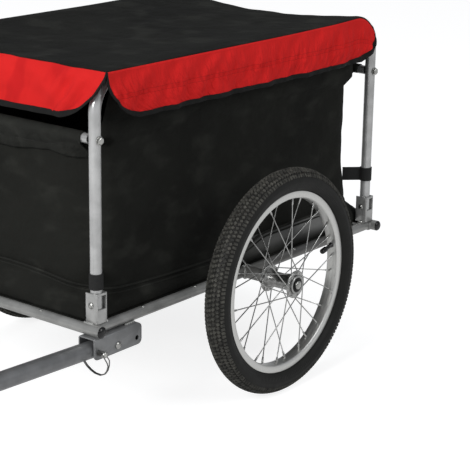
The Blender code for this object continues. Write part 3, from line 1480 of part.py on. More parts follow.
def spoke_set(name, side_x, start_x, leading, outwards, phase):
    """Every other spoke of one flange. Each is a thin rod that steps up to its nipple at the rim."""
    per_flange = SPOKE_COUNT // 2
    pitch = 2 * math.pi / per_flange
    nipple_r = RIM_INNER_RADIUS * math.cos(math.pi / WHEEL_STEPS) - 3 * SEAT_GAP
    swing = SPOKE_CROSSES * pitch * (-1 if leading else 1)
    shape = bmesh.new()
    for k in range(1 if leading else 0, per_flange, 2):
        hub_angle = phase + k * pitch
        rim_angle = hub_angle + swing
        start = Vector(
            (start_x, SPOKE_CIRCLE_RADIUS * math.cos(hub_angle), SPOKE_CIRCLE_RADIUS * math.sin(hub_angle))
        )
        end = Vector((side_x * NIPPLE_OFFSET, nipple_r * math.cos(rim_angle), nipple_r * math.sin(rim_angle)))
        towards = (end - start).normalized()
        turn = Vector((0.0, 0.0, 1.0)).rotation_difference(towards)
        stations = (
            (SPOKE_RADIUS, start),
            (SPOKE_RADIUS, end - towards * NIPPLE_LENGTH),
            (NIPPLE_RADIUS, end - towards * NIPPLE_LENGTH),
            (NIPPLE_RADIUS, end),
        )
        rings = []
        for radius, at in stations:
            circle = arc((0.0, 0.0), radius, 0.0, 2 * math.pi, SPOKE_SIDES + 1)[:-1]
            rings.append([shape.verts.new(at + turn @ Vector((u, v, 0.0))) for u, v in circle])
        for low, high in zip(rings, rings[1:]):
            for i in range(SPOKE_SIDES):
                j = (i + 1) % SPOKE_SIDES
                shape.faces.new((low[i], low[j], high[j], high[i]))
        shape.faces.new(list(reversed(rings[0])))
        shape.faces.new(rings[-1])
    mesh = bpy.data.meshes.new(name)
    shape.to_mesh(mesh)
    shape.free()
    spokes = place(name, mesh, None, CUTTERS)
    spokes.location = (outwards * WHEEL_PLANE_X, 0.0, AXLE_HEIGHT)
    return spokes


def spoked_hub(side, outwards):
    """The hub's shell with its laced spokes: two flanges, and in each the spokes leave the two faces
    in opposite directions and cross on their way to the rim."""
    pocket = BEARING_RADIUS + SEAT_GAP
    profile = []
    inside = []
    for sign, width, flange in (
        (1, HUB_OUTER_WIDTH, FLANGE_OUTER_OFFSET),
        (-1, HUB_INNER_WIDTH, FLANGE_INNER_OFFSET),
    ):
        flange_in = flange - FLANGE_THICKNESS / 2
        flange_out = flange + FLANGE_THICKNESS / 2
        pocket_x = width - BEARING_WIDTH - SEAT_GAP
        outer_end = [
            (HUB_BOSS_RADIUS, width),
            (HUB_BOSS_RADIUS, flange_out),
            (FLANGE_RADIUS, flange_out),
            (FLANGE_RADIUS, flange_in),
            (HUB_BARREL_RADIUS, flange_in),
        ]
        inner_end = [(pocket, width), (pocket, pocket_x), (HUB_BORE_RADIUS, pocket_x)]
        outer_end = [(r, sign * x) for r, x in outer_end]
        inner_end = [(r, sign * x) for r, x in inner_end]
        if sign > 0:
            profile += outer_end
            inside = list(reversed(inner_end))
        else:
            profile += list(reversed(outer_end)) + inner_end + inside
    hub = turned(
        f"{side}_spoked_hub",
        profile,
        (outwards * WHEEL_PLANE_X, 0.0, AXLE_HEIGHT),
        (outwards, 0, 0),
        ALUMINIUM,
        steps=HUB_STEPS,
    )
    per_flange = SPOKE_COUNT // 2
    half_pitch = math.pi / per_flange
    first = VALVE_ANGLE - half_pitch / 2
    face = FLANGE_THICKNESS / 2 + SPOKE_RADIUS * 0.6
    for flange, side_x, offset in (
        ("outer", outwards, FLANGE_OUTER_OFFSET),
        ("inner", -outwards, FLANGE_INNER_OFFSET),
    ):
        phase = first + (half_pitch if flange == "inner" else 0.0)
        for leading in (False, True):
            step = face if leading else -face
            start_x = side_x * (offset + step)
            name = f"{side}_{flange}_{'leading' if leading else 'trailing'}_spokes"
            spokes = spoke_set(name, side_x, start_x, leading, outwards, phase)
            boolean(hub, spokes, "UNION", merge_itself=True)


def bearings(side, outwards):
    for where, sign, width in (("outer", 1, HUB_OUTER_WIDTH), ("inner", -1, HUB_INNER_WIDTH)):
        middle = outwards * (WHEEL_PLANE_X + sign * (width - BEARING_WIDTH / 2))
        half = BEARING_WIDTH / 2
        inner = AXLE_RADIUS + RUNNING_GAP
        turned(
            f"{side}_{where}_bearing",
            [(BEARING_RADIUS, half), (BEARING_RADIUS, -half), (inner, -half), (inner, half)],
            (middle, 0.0, AXLE_HEIGHT),
            (1, 0, 0),
            DARK_STEEL,
            steps=HUB_STEPS,
        )


def axle_and_button(side, outwards):
    """A quick-release axle: a hollow pin with a wide head, and a push button in the head."""
    seat = HUB_OUTER_X + 0.0005
    inner_end = STUB_END_X - AXLE_DEPTH_IN_STUB
    head_top = seat + AXLE_HEAD_THICKNESS
    bore = BUTTON_STEM_RADIUS + RUNNING_GAP
    recess = BUTTON_RADIUS + RUNNING_GAP
    recess_floor = head_top - BUTTON_TRAVEL - BUTTON_CAP_THICKNESS + 0.0010
    stem_end = recess_floor + BUTTON_TRAVEL + SEAT_GAP - BUTTON_STEM_LENGTH
    bore_end = stem_end - BUTTON_TRAVEL - SEAT_GAP
    turned(
        f"{side}_axle",
        [
            (0.0, bore_end),
            (bore, bore_end),
            (bore, recess_floor),
            (recess, recess_floor),
            (recess, head_top),
            (AXLE_HEAD_RADIUS - 0.0015, head_top),
            (AXLE_HEAD_RADIUS, head_top - 0.0015),
            (AXLE_HEAD_RADIUS, seat),
            (AXLE_RADIUS, seat),
            (AXLE_RADIUS, inner_end + 0.002),
            (AXLE_RADIUS - 0.002, inner_end),
            (0.0, inner_end),
        ],
        (0.0, 0.0, AXLE_HEIGHT),
        (outwards, 0, 0),
        DARK_STEEL,
        steps=HUB_STEPS,
    )
    cap_low = recess_floor + BUTTON_TRAVEL + SEAT_GAP
    cap_high = cap_low + BUTTON_CAP_THICKNESS
    dome = [
        (BUTTON_RADIUS * math.sin(a), cap_high + BUTTON_DOME * math.cos(a))
        for a in (0.0, math.pi / 6, math.pi / 3, math.pi / 2)
    ]
    turned(
        f"{side}_release_button",
        dome + [
            (BUTTON_RADIUS, cap_low),
            (BUTTON_STEM_RADIUS, cap_low),
            (BUTTON_STEM_RADIUS, stem_end),
            (0.0, stem_end),
        ],
        (0.0, 0.0, AXLE_HEIGHT),
        (outwards, 0, 0),
        ZINC,
        steps=HUB_STEPS,
    )
    return cap_high + BUTTON_DOME


for side, outwards in (("left", 1), ("right", -1)):
    tyre(side, outwards)
    rim(side, outwards)
    spoked_hub(side, outwards)
    bearings(side, outwards)
    axle_and_button(side, outwards)


# Every piece keeps its finished shape as its own mesh, with its origin on the axis that it moves
# about, and hangs on one empty.
def finished(obj):
    bpy.context.view_layer.update()
    graph = bpy.context.evaluated_depsgraph_get()
    mesh = bpy.data.meshes.new_from_object(obj.evaluated_get(graph))
    mesh.name = obj.name
    obj.modifiers.clear()
    obj.data = mesh
    mesh.shade_smooth()
    mesh.set_sharp_from_angle(angle=math.radians(40.0))


JOINT_ORIGINS = {
    "tow_bar": PIVOT,
    "tow_bar_fork": PIVOT,
    "lock_pin_bail": Vector((BAIL_HINGE_X, LOCK_PIN.y, LOCK_PIN.z)),
    "hitch_knuckle": HITCH_PITCH,
    "hitch_bracket": HITCH_YAW,
}

for part in list(PARTS.objects):
    finished(part)
for name, point in JOINT_ORIGINS.items():
    move_origin(PARTS.objects[name], point)

REAR_Y = CROSS_TUBE_Y + FRAME_TUBE_RADIUS
origin = bpy.data.objects.new("trailer_origin", None)
PARTS.objects.link(origin)
origin.location = (0.0, -(BRACKET_FRONT_Y + REAR_Y) / 2, 0.0)
for part in list(PARTS.objects):
    if part is not origin:
        part.parent = origin
for cutter in CUTTERS.objects:
    cutter.parent = origin
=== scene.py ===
import math

import bpy
from mathutils import Matrix, Vector, noise


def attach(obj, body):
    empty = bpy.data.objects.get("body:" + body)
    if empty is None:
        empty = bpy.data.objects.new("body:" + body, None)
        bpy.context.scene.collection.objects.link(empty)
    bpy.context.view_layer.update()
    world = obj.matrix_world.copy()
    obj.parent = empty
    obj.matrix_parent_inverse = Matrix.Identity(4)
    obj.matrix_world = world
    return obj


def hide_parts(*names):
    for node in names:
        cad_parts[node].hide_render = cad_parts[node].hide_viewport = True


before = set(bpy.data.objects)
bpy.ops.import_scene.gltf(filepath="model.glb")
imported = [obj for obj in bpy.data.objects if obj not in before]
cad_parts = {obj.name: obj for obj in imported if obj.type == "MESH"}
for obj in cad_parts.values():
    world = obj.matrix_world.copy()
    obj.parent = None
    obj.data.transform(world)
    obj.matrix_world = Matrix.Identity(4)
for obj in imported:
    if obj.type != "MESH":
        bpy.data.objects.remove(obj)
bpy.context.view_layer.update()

# Camera
# The trailer is seen from the front left, a little above the cover, as a product picture shows it.
CAMERA_PLACE = Vector((1.7817, -1.72295, 1.0492))
CAMERA_YAW = math.radians(38.0895)
CAMERA_PITCH = math.radians(16.9831)
CAMERA_ROLL = math.radians(0.9861)
CAMERA_LENS = 119.27
CAMERA_SENSOR = 36.0
ahead = Vector((
    -math.sin(CAMERA_YAW) * math.cos(CAMERA_PITCH),
    math.cos(CAMERA_YAW) * math.cos(CAMERA_PITCH),
    -math.sin(CAMERA_PITCH),
))
level_right = Vector((math.cos(CAMERA_YAW), math.sin(CAMERA_YAW), 0.0))
level_up = level_right.cross(ahead)
right = math.cos(CAMERA_ROLL) * level_right + math.sin(CAMERA_ROLL) * level_up
up = math.cos(CAMERA_ROLL) * level_up - math.sin(CAMERA_ROLL) * level_right
bpy.ops.object.camera_add(location=CAMERA_PLACE)
camera = bpy.context.object
camera.rotation_euler = Matrix((right, up, -ahead)).transposed().to_euler()
camera.data.sensor_fit = "HORIZONTAL"
camera.data.sensor_width = CAMERA_SENSOR
camera.data.lens = CAMERA_LENS
bpy.context.scene.camera = camera
bpy.context.scene.view_settings.view_transform = "Standard"


# Floor and light
# A wide white floor, plain studio softboxes at the front and the left, and a pale room all round.
class Pattern:
    """One socket of a finish, written as a value in an expression."""

    def __init__(self, finish, socket):
        self.finish = finish
        self.socket = socket

    def sum_with(self, operation, first, second):
        return self.finish.node("ShaderNodeMath", {"operation": operation}, {0: first, 1: second})

    def __add__(self, other):
        return self.sum_with("ADD", self, other)

    def __radd__(self, other):
        return self.sum_with("ADD", other, self)

    def __sub__(self, other):
        return self.sum_with("SUBTRACT", self, other)

    def __rsub__(self, other):
        return self.sum_with("SUBTRACT", other, self)

    def __mul__(self, other):
        return self.sum_with("MULTIPLY", self, other)

    def __truediv__(self, other):
        return self.sum_with("DIVIDE", self, other)

    def __pow__(self, other):
        return self.sum_with("POWER", self, other)

    def wave(self):
        return self.finish.node("ShaderNodeMath", {"operation": "SINE"}, {0: self})

    def size(self):
        return self.finish.node("ShaderNodeMath", {"operation": "ABSOLUTE"}, {0: self})

    def between(self, low, high):
        """0 below low, 1 above high, and smooth between them."""
        return self.finish.node(
            "ShaderNodeMapRange",
            {"interpolation_type": "SMOOTHSTEP"},
            {"Value": self, "From Min": low, "From Max": high},
        )


class Finish:
    """A material, built one node at a time round its Principled shader."""

    def __init__(self, name, colour, roughness, **fixed):
        self.material = bpy.data.materials.new(name)
        self.material.use_nodes = True
        self.tree = self.material.node_tree
        self.shader = self.tree.nodes["Principled BSDF"]
        self.set(Base_Color=(*colour, 1.0), Roughness=roughness, **fixed)
        self.found = {}

    def put(self, node, sockets):
        for key, value in sockets.items():
            if isinstance(value, Pattern):
                self.tree.links.new(value.socket, node.inputs[key])
            else:
                node.inputs[key].default_value = value

    def node(self, kind, settings=None, sockets=None, output=0):
        made = self.tree.nodes.new(kind)
        for key, value in (settings or {}).items():
            setattr(made, key, value)
        self.put(made, sockets or {})
        return Pattern(self, made.outputs[output])

    def spot(self, which="Object"):
        if which not in self.found:
            self.found[which] = self.node("ShaderNodeTexCoord", output=which)
        return self.found[which]

    def along(self, axis, which="Object"):
        key = (axis, which)
        if key not in self.found:
            self.found[key] = self.node("ShaderNodeSeparateXYZ", None, {0: self.spot(which)}, axis)
        return self.found[key]

    def noise(self, scale, detail, which="Object", stretch=None, lean=0.0):
        place = self.spot(which)
        if stretch:
            sockets = {"Vector": place, "Scale": stretch, "Rotation": (0.0, 0.0, lean)}
            place = self.node("ShaderNodeMapping", None, sockets)
        return self.node("ShaderNodeTexNoise", None, {"Vector": place, "Scale": scale, "Detail": detail})

    def blend(self, first, second, share):
        first = first if isinstance(first, Pattern) else (*first[:3], 1.0)
        second = second if isinstance(second, Pattern) else (*second[:3], 1.0)
        return self.node("ShaderNodeMix", {"data_type": "RGBA"}, {0: share, 6: first, 7: second}, 2)

    def set(self, **sockets):
        self.put(self.shader, {key.replace("_", " "): value for key, value in sockets.items()})

    def tint(self, first, second, share):
        """Colours the finish with a mix of two colours."""
        self.set(Base_Color=self.blend(first, second, share))

    def tint_over(self, colour, share):
        """Lays one more colour over the mix that the finish has."""
        below = Pattern(self, self.shader.inputs["Base Color"].links[0].from_socket)
        self.tint(below, colour, share)

    def dull(self, scale, detail, swing, least):
        """Makes the roughness vary in soft patches."""
        self.set(Roughness=self.noise(scale, detail) * swing + least)

    def grain(self, scale, detail, distance, strength):
        """Raises a fine grain on the surface."""
        self.set(Normal=self.bump(self.noise(scale, detail), distance, strength))

    def bump(self, height, distance, strength, normal=None):
        sockets = {"Height": height, "Distance": distance, "Strength": strength}
        if normal:
            sockets["Normal"] = normal
        return self.node("ShaderNodeBump", None, sockets)


FLOOR_SIZE = 60.0
FLOOR_GLOW = 0.80
FLOOR_IN_METAL = 0.6
ROOM_LIGHT = 0.38
floor_finish = Finish("studio_floor", (0.42, 0.42, 0.42), 0.9, Specular_IOR_Level=0.0)
rays = floor_finish.node("ShaderNodeLightPath", output="Is Camera Ray")
mirrored = Pattern(floor_finish, rays.socket.node.outputs["Is Glossy Ray"])
seen = floor_finish.node("ShaderNodeMath", {"operation": "MAXIMUM"}, {0: rays, 1: mirrored * FLOOR_IN_METAL})
floor_output = floor_finish.tree.nodes["Material Output"]
glow = floor_finish.tree.nodes.new("ShaderNodeEmission")
glow.inputs["Strength"].default_value = FLOOR_GLOW
both = floor_finish.tree.nodes.new("ShaderNodeAddShader")
plain = floor_finish.tree.nodes.new("ShaderNodeMixShader")
for source, target in (
    (floor_finish.shader.outputs[0], both.inputs[0]),
    (glow.outputs[0], both.inputs[1]),
    (seen.socket, plain.inputs[0]),
    (floor_finish.shader.outputs[0], plain.inputs[1]),
    (both.outputs[0], plain.inputs[2]),
    (plain.outputs[0], floor_output.inputs["Surface"]),
):
    floor_finish.tree.links.new(source, target)
bpy.ops.mesh.primitive_plane_add(size=FLOOR_SIZE, location=(0.0, 0.0, 0.0))
floor = bpy.context.object
floor.name = "studio_floor_plane"
floor.data.materials.append(floor_finish.material)

room = bpy.data.worlds.new("studio_room")
bpy.context.scene.world = room
room.use_nodes = True
room_tree = room.node_tree
room_light = room_tree.nodes["Background"]
room_light.inputs["Color"].default_value = (0.92, 0.95, 1.0, 1.0)
room_light.inputs["Strength"].default_value = ROOM_LIGHT
room_seen = room_tree.nodes.new("ShaderNodeBackground")
room_seen.inputs["Strength"].default_value = 1.0
room_path = room_tree.nodes.new("ShaderNodeLightPath")
room_rays = room_tree.nodes.new("ShaderNodeMath")
room_rays.operation = "MAXIMUM"
room_mix = room_tree.nodes.new("ShaderNodeMixShader")
for source, target in (
    (room_path.outputs["Is Camera Ray"], room_rays.inputs[0]),
    (room_path.outputs["Is Transmission Ray"], room_rays.inputs[1]),
    (room_rays.outputs[0], room_mix.inputs[0]),
    (room_light.outputs[0], room_mix.inputs[1]),
    (room_seen.outputs[0], room_mix.inputs[2]),
    (room_mix.outputs[0], room_tree.nodes["World Output"].inputs["Surface"]),
):
    room_tree.links.new(source, target)

for name, place, target, size, power in (
    ("front_softbox", (0.3, -3.2, 2.1), (0.0, 0.2, 0.35), 1.4, 104.0),
    ("left_softbox", (3.4, 0.6, 2.2), (0.0, 0.3, 0.3), 1.6, 38.0),
    ("top_softbox", (-0.6, 0.9, 3.2), (0.0, 0.3, 0.4), 2.2, 14.0),
):
    bpy.ops.object.light_add(type="AREA", location=place)
    lamp = bpy.context.object
    lamp.name = name
    lamp.data.size = size
    lamp.data.energy = power
    lamp.rotation_euler = (Vector(target) - Vector(place)).to_track_quat("-Z", "Y").to_euler()


# Base frame
# Round steel tubes of 19 mm, welded into a rectangle with an axle tube across the middle, painted
# silver grey. Black plastic caps close the cross tubes, and small screws hold the bag's skirt.
AXLE_Y = 0.31475
AXLE_Z = 0.1975
TUBE_R = 0.0095
TUBE_WALL = 0.0012
STUB_R = 0.0110
STUB_WALL = 0.0046
STUB_END_X = 0.2505
WELD_R = 0.0019
WELD_LIFT = 0.0006
RAIL_X = 0.2077
CROSS_Y = 0.386
CROSS_HALF = 0.2285
SIDES = (("left", 1), ("right", -1))
ENDS = (("front", -1), ("rear", 1))


def in_hand(*extra):
    """Deselects all, so that the next operator meets only what is added after it."""
    bpy.ops.object.select_all(action="DESELECT")
    for obj in extra:
        obj.select_set(True)
    if extra:
        bpy.context.view_layer.objects.active = extra[0]


def finish_piece(name, body, slot, finish, *nodes, angle=35.0, soften=0.0):
    """Puts the place of the piece in hand into its mesh, rounds its edges and hands it over."""
    obj = bpy.context.object
    obj.name = name
    obj.data.name = name
    bpy.ops.object.transform_apply(location=True, rotation=True, scale=True)
    if soften:
        bevel = obj.modifiers.new("edges", "BEVEL")
        bevel.width = soften
        bevel.segments = 2
        bevel.limit_method = "ANGLE"
        bevel.angle_limit = math.radians(40.0)
        bpy.ops.object.modifier_apply(modifier="edges")
    bpy.ops.object.shade_smooth_by_angle(angle=math.radians(angle))
    obj.data.materials.clear()
    obj.data.materials.append(finish.material)
    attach(obj, body)
    if nodes:
        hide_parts(*nodes)
    return obj


def aim(obj, start, direction):
    turn = Vector((0.0, 0.0, 1.0)).rotation_difference(Vector(direction))
    obj.matrix_world = Matrix.Translation(start) @ turn.to_matrix().to_4x4()


def opened():
    """Opens the piece in hand for editing, with all of it selected."""
    bpy.ops.object.mode_set(mode="EDIT")
    bpy.ops.mesh.select_all(action="SELECT")


def shut():
    bpy.ops.object.mode_set(mode="OBJECT")


def closed_up(gap=1e-7, ends=False):
    """Merges the points that meet along a seam, and closes the open ends if asked."""
    opened()
    bpy.ops.mesh.remove_doubles(threshold=gap)
    if ends:
        bpy.ops.mesh.fill_holes(sides=0)
    bpy.ops.mesh.select_all(action="SELECT")
    bpy.ops.mesh.normals_make_consistent(inside=False)
    shut()


def spun(profile, centre, direction, steps=32):
    """A turned shape: its half section is drawn as a closed loop of (radius, height), then spun."""
    in_hand()
    bpy.ops.mesh.primitive_circle_add(vertices=len(profile), radius=1.0, location=(0, 0, 0))
    obj = bpy.context.object
    for vertex, (radius, height) in zip(obj.data.vertices, profile):
        vertex.co = (radius, 0.0, height)
    opened()
    bpy.ops.mesh.spin(steps=steps, angle=2 * math.pi, center=(0, 0, 0), axis=(0, 0, 1))
    shut()
    closed_up(1e-6)
    aim(obj, centre, direction)
    return obj


def straight_tube(radius, start, end, wall=TUBE_WALL, steps=32):
    start = Vector(start)
    along = Vector(end) - start
    inner = radius - wall
    profile = [(radius, 0.0), (radius, along.length), (inner, along.length), (inner, 0.0)]
    return spun(profile, start, along, steps)


def sheet(rows, closed=False):
    """A grid with as many squares as the rows need, each corner moved to its point of the rows."""
    if closed:
        rows = [[*row, row[0]] for row in rows]
    across = len(rows[0])
    in_hand()
    bpy.ops.mesh.primitive_grid_add(
        x_subdivisions=across - 1, y_subdivisions=len(rows) - 1, size=1.0, location=(0, 0, 0)
    )
    obj = bpy.context.object
    for i, row in enumerate(rows):
        for j, point in enumerate(row):
            obj.data.vertices[i * across + j].co = point
    return obj


def swept(path, radius, steps=8, closed=False, lumps=None):
    """A round wire along a path of points: a sheet is rolled up round the path."""
    rings = []
    count = len(path)
    side = None
    for i, point in enumerate(path):
        before = path[(i - 1) % count] if closed or i else path[0]
        after = path[(i + 1) % count] if closed or i < count - 1 else path[-1]
        ahead_here = (Vector(after) - Vector(before)).normalized()
        if side is None:
            side = ahead_here.orthogonal().normalized()
        side = (side - ahead_here * side.dot(ahead_here)).normalized()
        over = ahead_here.cross(side)
        reach = radius * (lumps(i) if lumps else 1.0)
        ring = []
        for j in range(steps):
            angle = 2 * math.pi * j / steps
            ring.append(Vector(point) + (side * math.cos(angle) + over * math.sin(angle)) * reach)
        rings.append(ring)
    if closed:
        rings.append(rings[0])
    obj = sheet(rings, closed=True)
    closed_up(ends=not closed)
    return obj


def joined(*objs):
    in_hand(*objs)
    bpy.ops.object.join()
    return bpy.context.object


def painted_steel(name, colour, metallic, roughness):
    """Paint with metal flakes over drawn tube: faint mottle, orange peel and some dust on top."""
    finish = Finish(name, colour, roughness, Metallic=metallic)
    mottle = finish.noise(38.0, 4.0)
    flakes = finish.noise(1400.0, 1.0)
    dark = [0.86 * value for value in colour]
    pale = [min(1.12 * value, 1.0) for value in colour]
    tint = finish.blend(dark, pale, mottle.between(0.3, 0.7))
    finish.tint(tint, pale, flakes.between(0.55, 0.75) * 0.5)
    finish.set(Roughness=mottle * 0.10 + (roughness - 0.05))
    finish.grain(420.0, 2.0, 0.00012, 0.5)
    return finish


FRAME_PAINT = painted_steel("silver_frame_paint_coat", (0.29, 0.29, 0.28), 0.5, 0.36)
# Painted shade: the frame paint is darker from y 0.22 to 0.62, around the axle, where the wheels and the
# bag's skirt shade the tubes.
painted_wheel_shade = FRAME_PAINT.along(1).between(0.22, 0.30) * (1.0 - FRAME_PAINT.along(1).between(0.56, 0.62))
FRAME_PAINT.tint_over((0.10, 0.098, 0.092), painted_wheel_shade * 0.75)
WELD = painted_steel("painted_weld", (0.27, 0.27, 0.26), 0.55, 0.36)

for side, out in SIDES:
    reach = CROSS_Y - TUBE_R * 0.5
    x = out * RAIL_X
    straight_tube(TUBE_R, (x, AXLE_Y - reach, AXLE_Z), (x, AXLE_Y + reach, AXLE_Z))
    finish_piece(f"{side}_rail_tube", "trailer", "frame_paint", FRAME_PAINT, f"{side}_rail")
    stub_start = (out * (RAIL_X + TUBE_R * 0.5), AXLE_Y, AXLE_Z)
    straight_tube(STUB_R, stub_start, (out * STUB_END_X, AXLE_Y, AXLE_Z), STUB_WALL)
    finish_piece(
        f"{side}_axle_stub_tube", "trailer", "frame_paint", FRAME_PAINT, f"{side}_axle_stub", soften=0.0005
    )
for end, way in ENDS:
    y = AXLE_Y + way * CROSS_Y
    straight_tube(TUBE_R, (-CROSS_HALF, y, AXLE_Z), (CROSS_HALF, y, AXLE_Z))
    finish_piece(f"{end}_cross_tube_round", "trailer", "frame_paint", FRAME_PAINT, f"{end}_cross_tube")
straight_tube(TUBE_R, (-RAIL_X + 0.006, AXLE_Y, AXLE_Z), (RAIL_X - 0.006, AXLE_Y, AXLE_Z))
finish_piece("axle_cross_tube", "trailer", "frame_paint", FRAME_PAINT, "axle_tube")


def saddle_weld(centre, radius, aside, towards):
    """A bead round the end of a tube, along the saddle where it meets the side of a frame tube."""
    saddle = []
    for i in range(48):
        angle = 2 * math.pi * i / 48
        rise = (radius + WELD_LIFT) * math.sin(angle)
        back = math.sqrt(max((TUBE_R + 0.0004) ** 2 - min(abs(rise), TUBE_R) ** 2, 0.0))
        level = Vector(aside) * (radius + WELD_LIFT) * math.cos(angle) + Vector(towards) * back
        saddle.append(Vector(centre) + level + Vector((0.0, 0.0, rise)))
    return swept(saddle, WELD_R, 6, True, lambda i: 1.0 + 0.16 * math.sin(i * 2.1))


welds = []
for side, out in SIDES:
    for way in (-1, 1):
        corner = (out * RAIL_X, AXLE_Y + way * CROSS_Y, AXLE_Z)
        welds.append(saddle_weld(corner, TUBE_R, (1, 0, 0), (0, -way, 0)))
    for start, radius in ((-1, TUBE_R), (1, STUB_R)):
        welds.append(saddle_weld((out * RAIL_X, AXLE_Y, AXLE_Z), radius, (0, 1, 0), (out * start, 0, 0)))
joined(*welds)
finish_piece("frame_tube_welds", "trailer", "frame_paint", WELD)

PLASTIC = Finish("black_moulded_plastic", (0.004, 0.004, 0.004), 0.3, Specular_IOR_Level=0.4)
PLASTIC.dull(60.0, 3.0, 0.14, 0.12)
PLASTIC.grain(900.0, 1.0, 0.00008, 0.6)
cap_dome = [(0.0, 0.0045), (0.0030, 0.0043), (0.0058, 0.0036), (0.0080, 0.0023), (0.0092, 0.0010)]
cap_plug = [(0.0095, 0.0003), (0.0080, 0.0003), (0.0080, -0.0100), (0.0, -0.0100)]
for end, way in ENDS:
    for side, out in SIDES:
        seat = (out * CROSS_HALF, AXLE_Y + way * CROSS_Y, AXLE_Z)
        spun(cap_dome + cap_plug, seat, (out, 0, 0), 40)
        finish_piece(f"{end}_{side}_tube_cap", "trailer", "black_plastic", PLASTIC, f"{end}_{side}_end_cap")

ZINC = Finish("bright_zinc_plate", (0.62, 0.62, 0.59), 0.30, Metallic=1.0)
plated = ZINC.noise(90.0, 3.0)
ZINC.tint((0.24, 0.24, 0.23), (0.46, 0.46, 0.44), plated.between(0.25, 0.65))
ZINC.set(Roughness=plated * 0.22 + 0.18)
ZINC.grain(700.0, 2.0, 0.00006, 0.5)
screw_head = [(0.0, 0.0022), (0.0012, 0.0021), (0.0026, 0.0015), (0.0031, 0.0006), (0.0031, 0.0), (0.0, 0.0)]
SCREW_LEAN = 0.45
skirt_screws = []
screw_places = [(x, AXLE_Y - CROSS_Y, -1, 0) for x in (-0.155, -0.027, 0.101)]
screw_places += [(x, AXLE_Y + CROSS_Y, 1, 0) for x in (-0.101, 0.027, 0.155)]
for y in (0.0441, 0.1757, 0.4538, 0.5854):
    screw_places += [(RAIL_X, y, 0, 1), (-RAIL_X, y, 0, -1)]
for x, y, along_y, along_x in screw_places:
    lean = Vector((along_x * SCREW_LEAN, along_y * SCREW_LEAN, 1.0)).normalized()
    seat = Vector((x, y, AXLE_Z)) + lean * (TUBE_R - 0.0003)
    skirt_screws.append(spun(screw_head, seat, lean, 16))
joined(*skirt_screws)
finish_piece("skirt_screws", "trailer", "zinc", ZINC)

# Sockets, hoops and crossbars
# Folded steel sockets stand on the cross tubes and hold the feet of two hoops, each one bent from
# a 19 mm tube with pale paint. A bolt at each end draws the two crossbars between them.
HOOP_X = 0.2055
HOOP_Y = 0.373
HOOP_TOP = 0.594
HOOP_TUBE_BEND = 0.058
SOCKET_Z = 0.2073
CROSSBAR_Z = 0.498
HOOP_PAINT = painted_steel("pale_hoop_paint_coat", (0.46, 0.46, 0.455), 0.45, 0.24)
BRIGHT_WELD = painted_steel("bright_weld_bead", (0.52, 0.52, 0.50), 0.6, 0.25)
SOCKET_PAINT = painted_steel("silver_socket_paint_coat", (0.40, 0.40, 0.39), 0.5, 0.32)


def softened_copy(node, dissolve=True):
    """A copy of a plain solid with its loose triangles merged into flat faces."""
    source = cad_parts[node]
    in_hand()
    obj = bpy.data.objects.new("copy", source.data.copy())
    obj.matrix_world = source.matrix_world.copy()
    bpy.context.scene.collection.objects.link(obj)
    in_hand(obj)
    opened()
    bpy.ops.mesh.remove_doubles(threshold=1e-5)
    if dissolve:
        bpy.ops.mesh.dissolve_limited(angle_limit=math.radians(2.0))
    shut()
    return obj


def bent_tube(radius, start, direction, moves):
    """A tube bent cold: a ring is drawn out straight, then swung about the middle of each bend."""
    in_hand()
    bpy.ops.mesh.primitive_circle_add(vertices=32, radius=radius, location=(0, 0, 0))
    obj = bpy.context.object
    aim(obj, start, direction)
    bpy.ops.object.transform_apply(location=True, rotation=True, scale=True)
    opened()
    for move in moves:
        if len(move) == 1:
            bpy.ops.mesh.extrude_region_move(TRANSFORM_OT_translate={"value": tuple(move[0])})
        else:
            centre, axis, angle = move
            bpy.ops.mesh.spin(
                steps=max(int(abs(angle) / math.radians(5.0)), 2),
                angle=-angle,
                center=tuple(centre),
                axis=tuple(axis),
            )
    shut()
    closed_up(1e-6)
    solid = obj.modifiers.new("wall", "SOLIDIFY")
    solid.thickness = TUBE_WALL
    solid.offset = -1.0
    bpy.ops.object.modifier_apply(modifier="wall")
    return obj


RIVET_HEAD = [(0.0, 0.0026), (0.0022, 0.0024), (0.0041, 0.0016), (0.0052, 0.0004), (0.0052, 0.0), (0.0, 0.0)]
RIVET_Z = SOCKET_Z + 0.029
RIVET_SEAT = 0.0126
RIVET_SHANK_R = 0.0029
WASHER = [(0.0072, 0.0), (0.0072, 0.0009), (0.0064, 0.0011), (0.0030, 0.0011), (0.0030, 0.0)]
BOLT_HEAD = [(0.0, 0.0050), (0.0048, 0.0050), (0.0062, 0.0042), (0.0064, 0.0040)]
BOLT_HEAD += [(0.0064, 0.0008), (0.0, 0.0008)]
HOOP_FOOT_GAP = 0.005
CROSSBAR_R = 0.008
CROSSBAR_HALF = 0.1957
FOOT_BEAD_R = 0.0021


def foot_bead_lumps(i):
    return 0.75 + 0.35 * math.sin(i * 0.26) + 0.12 * math.sin(i * 2.3)


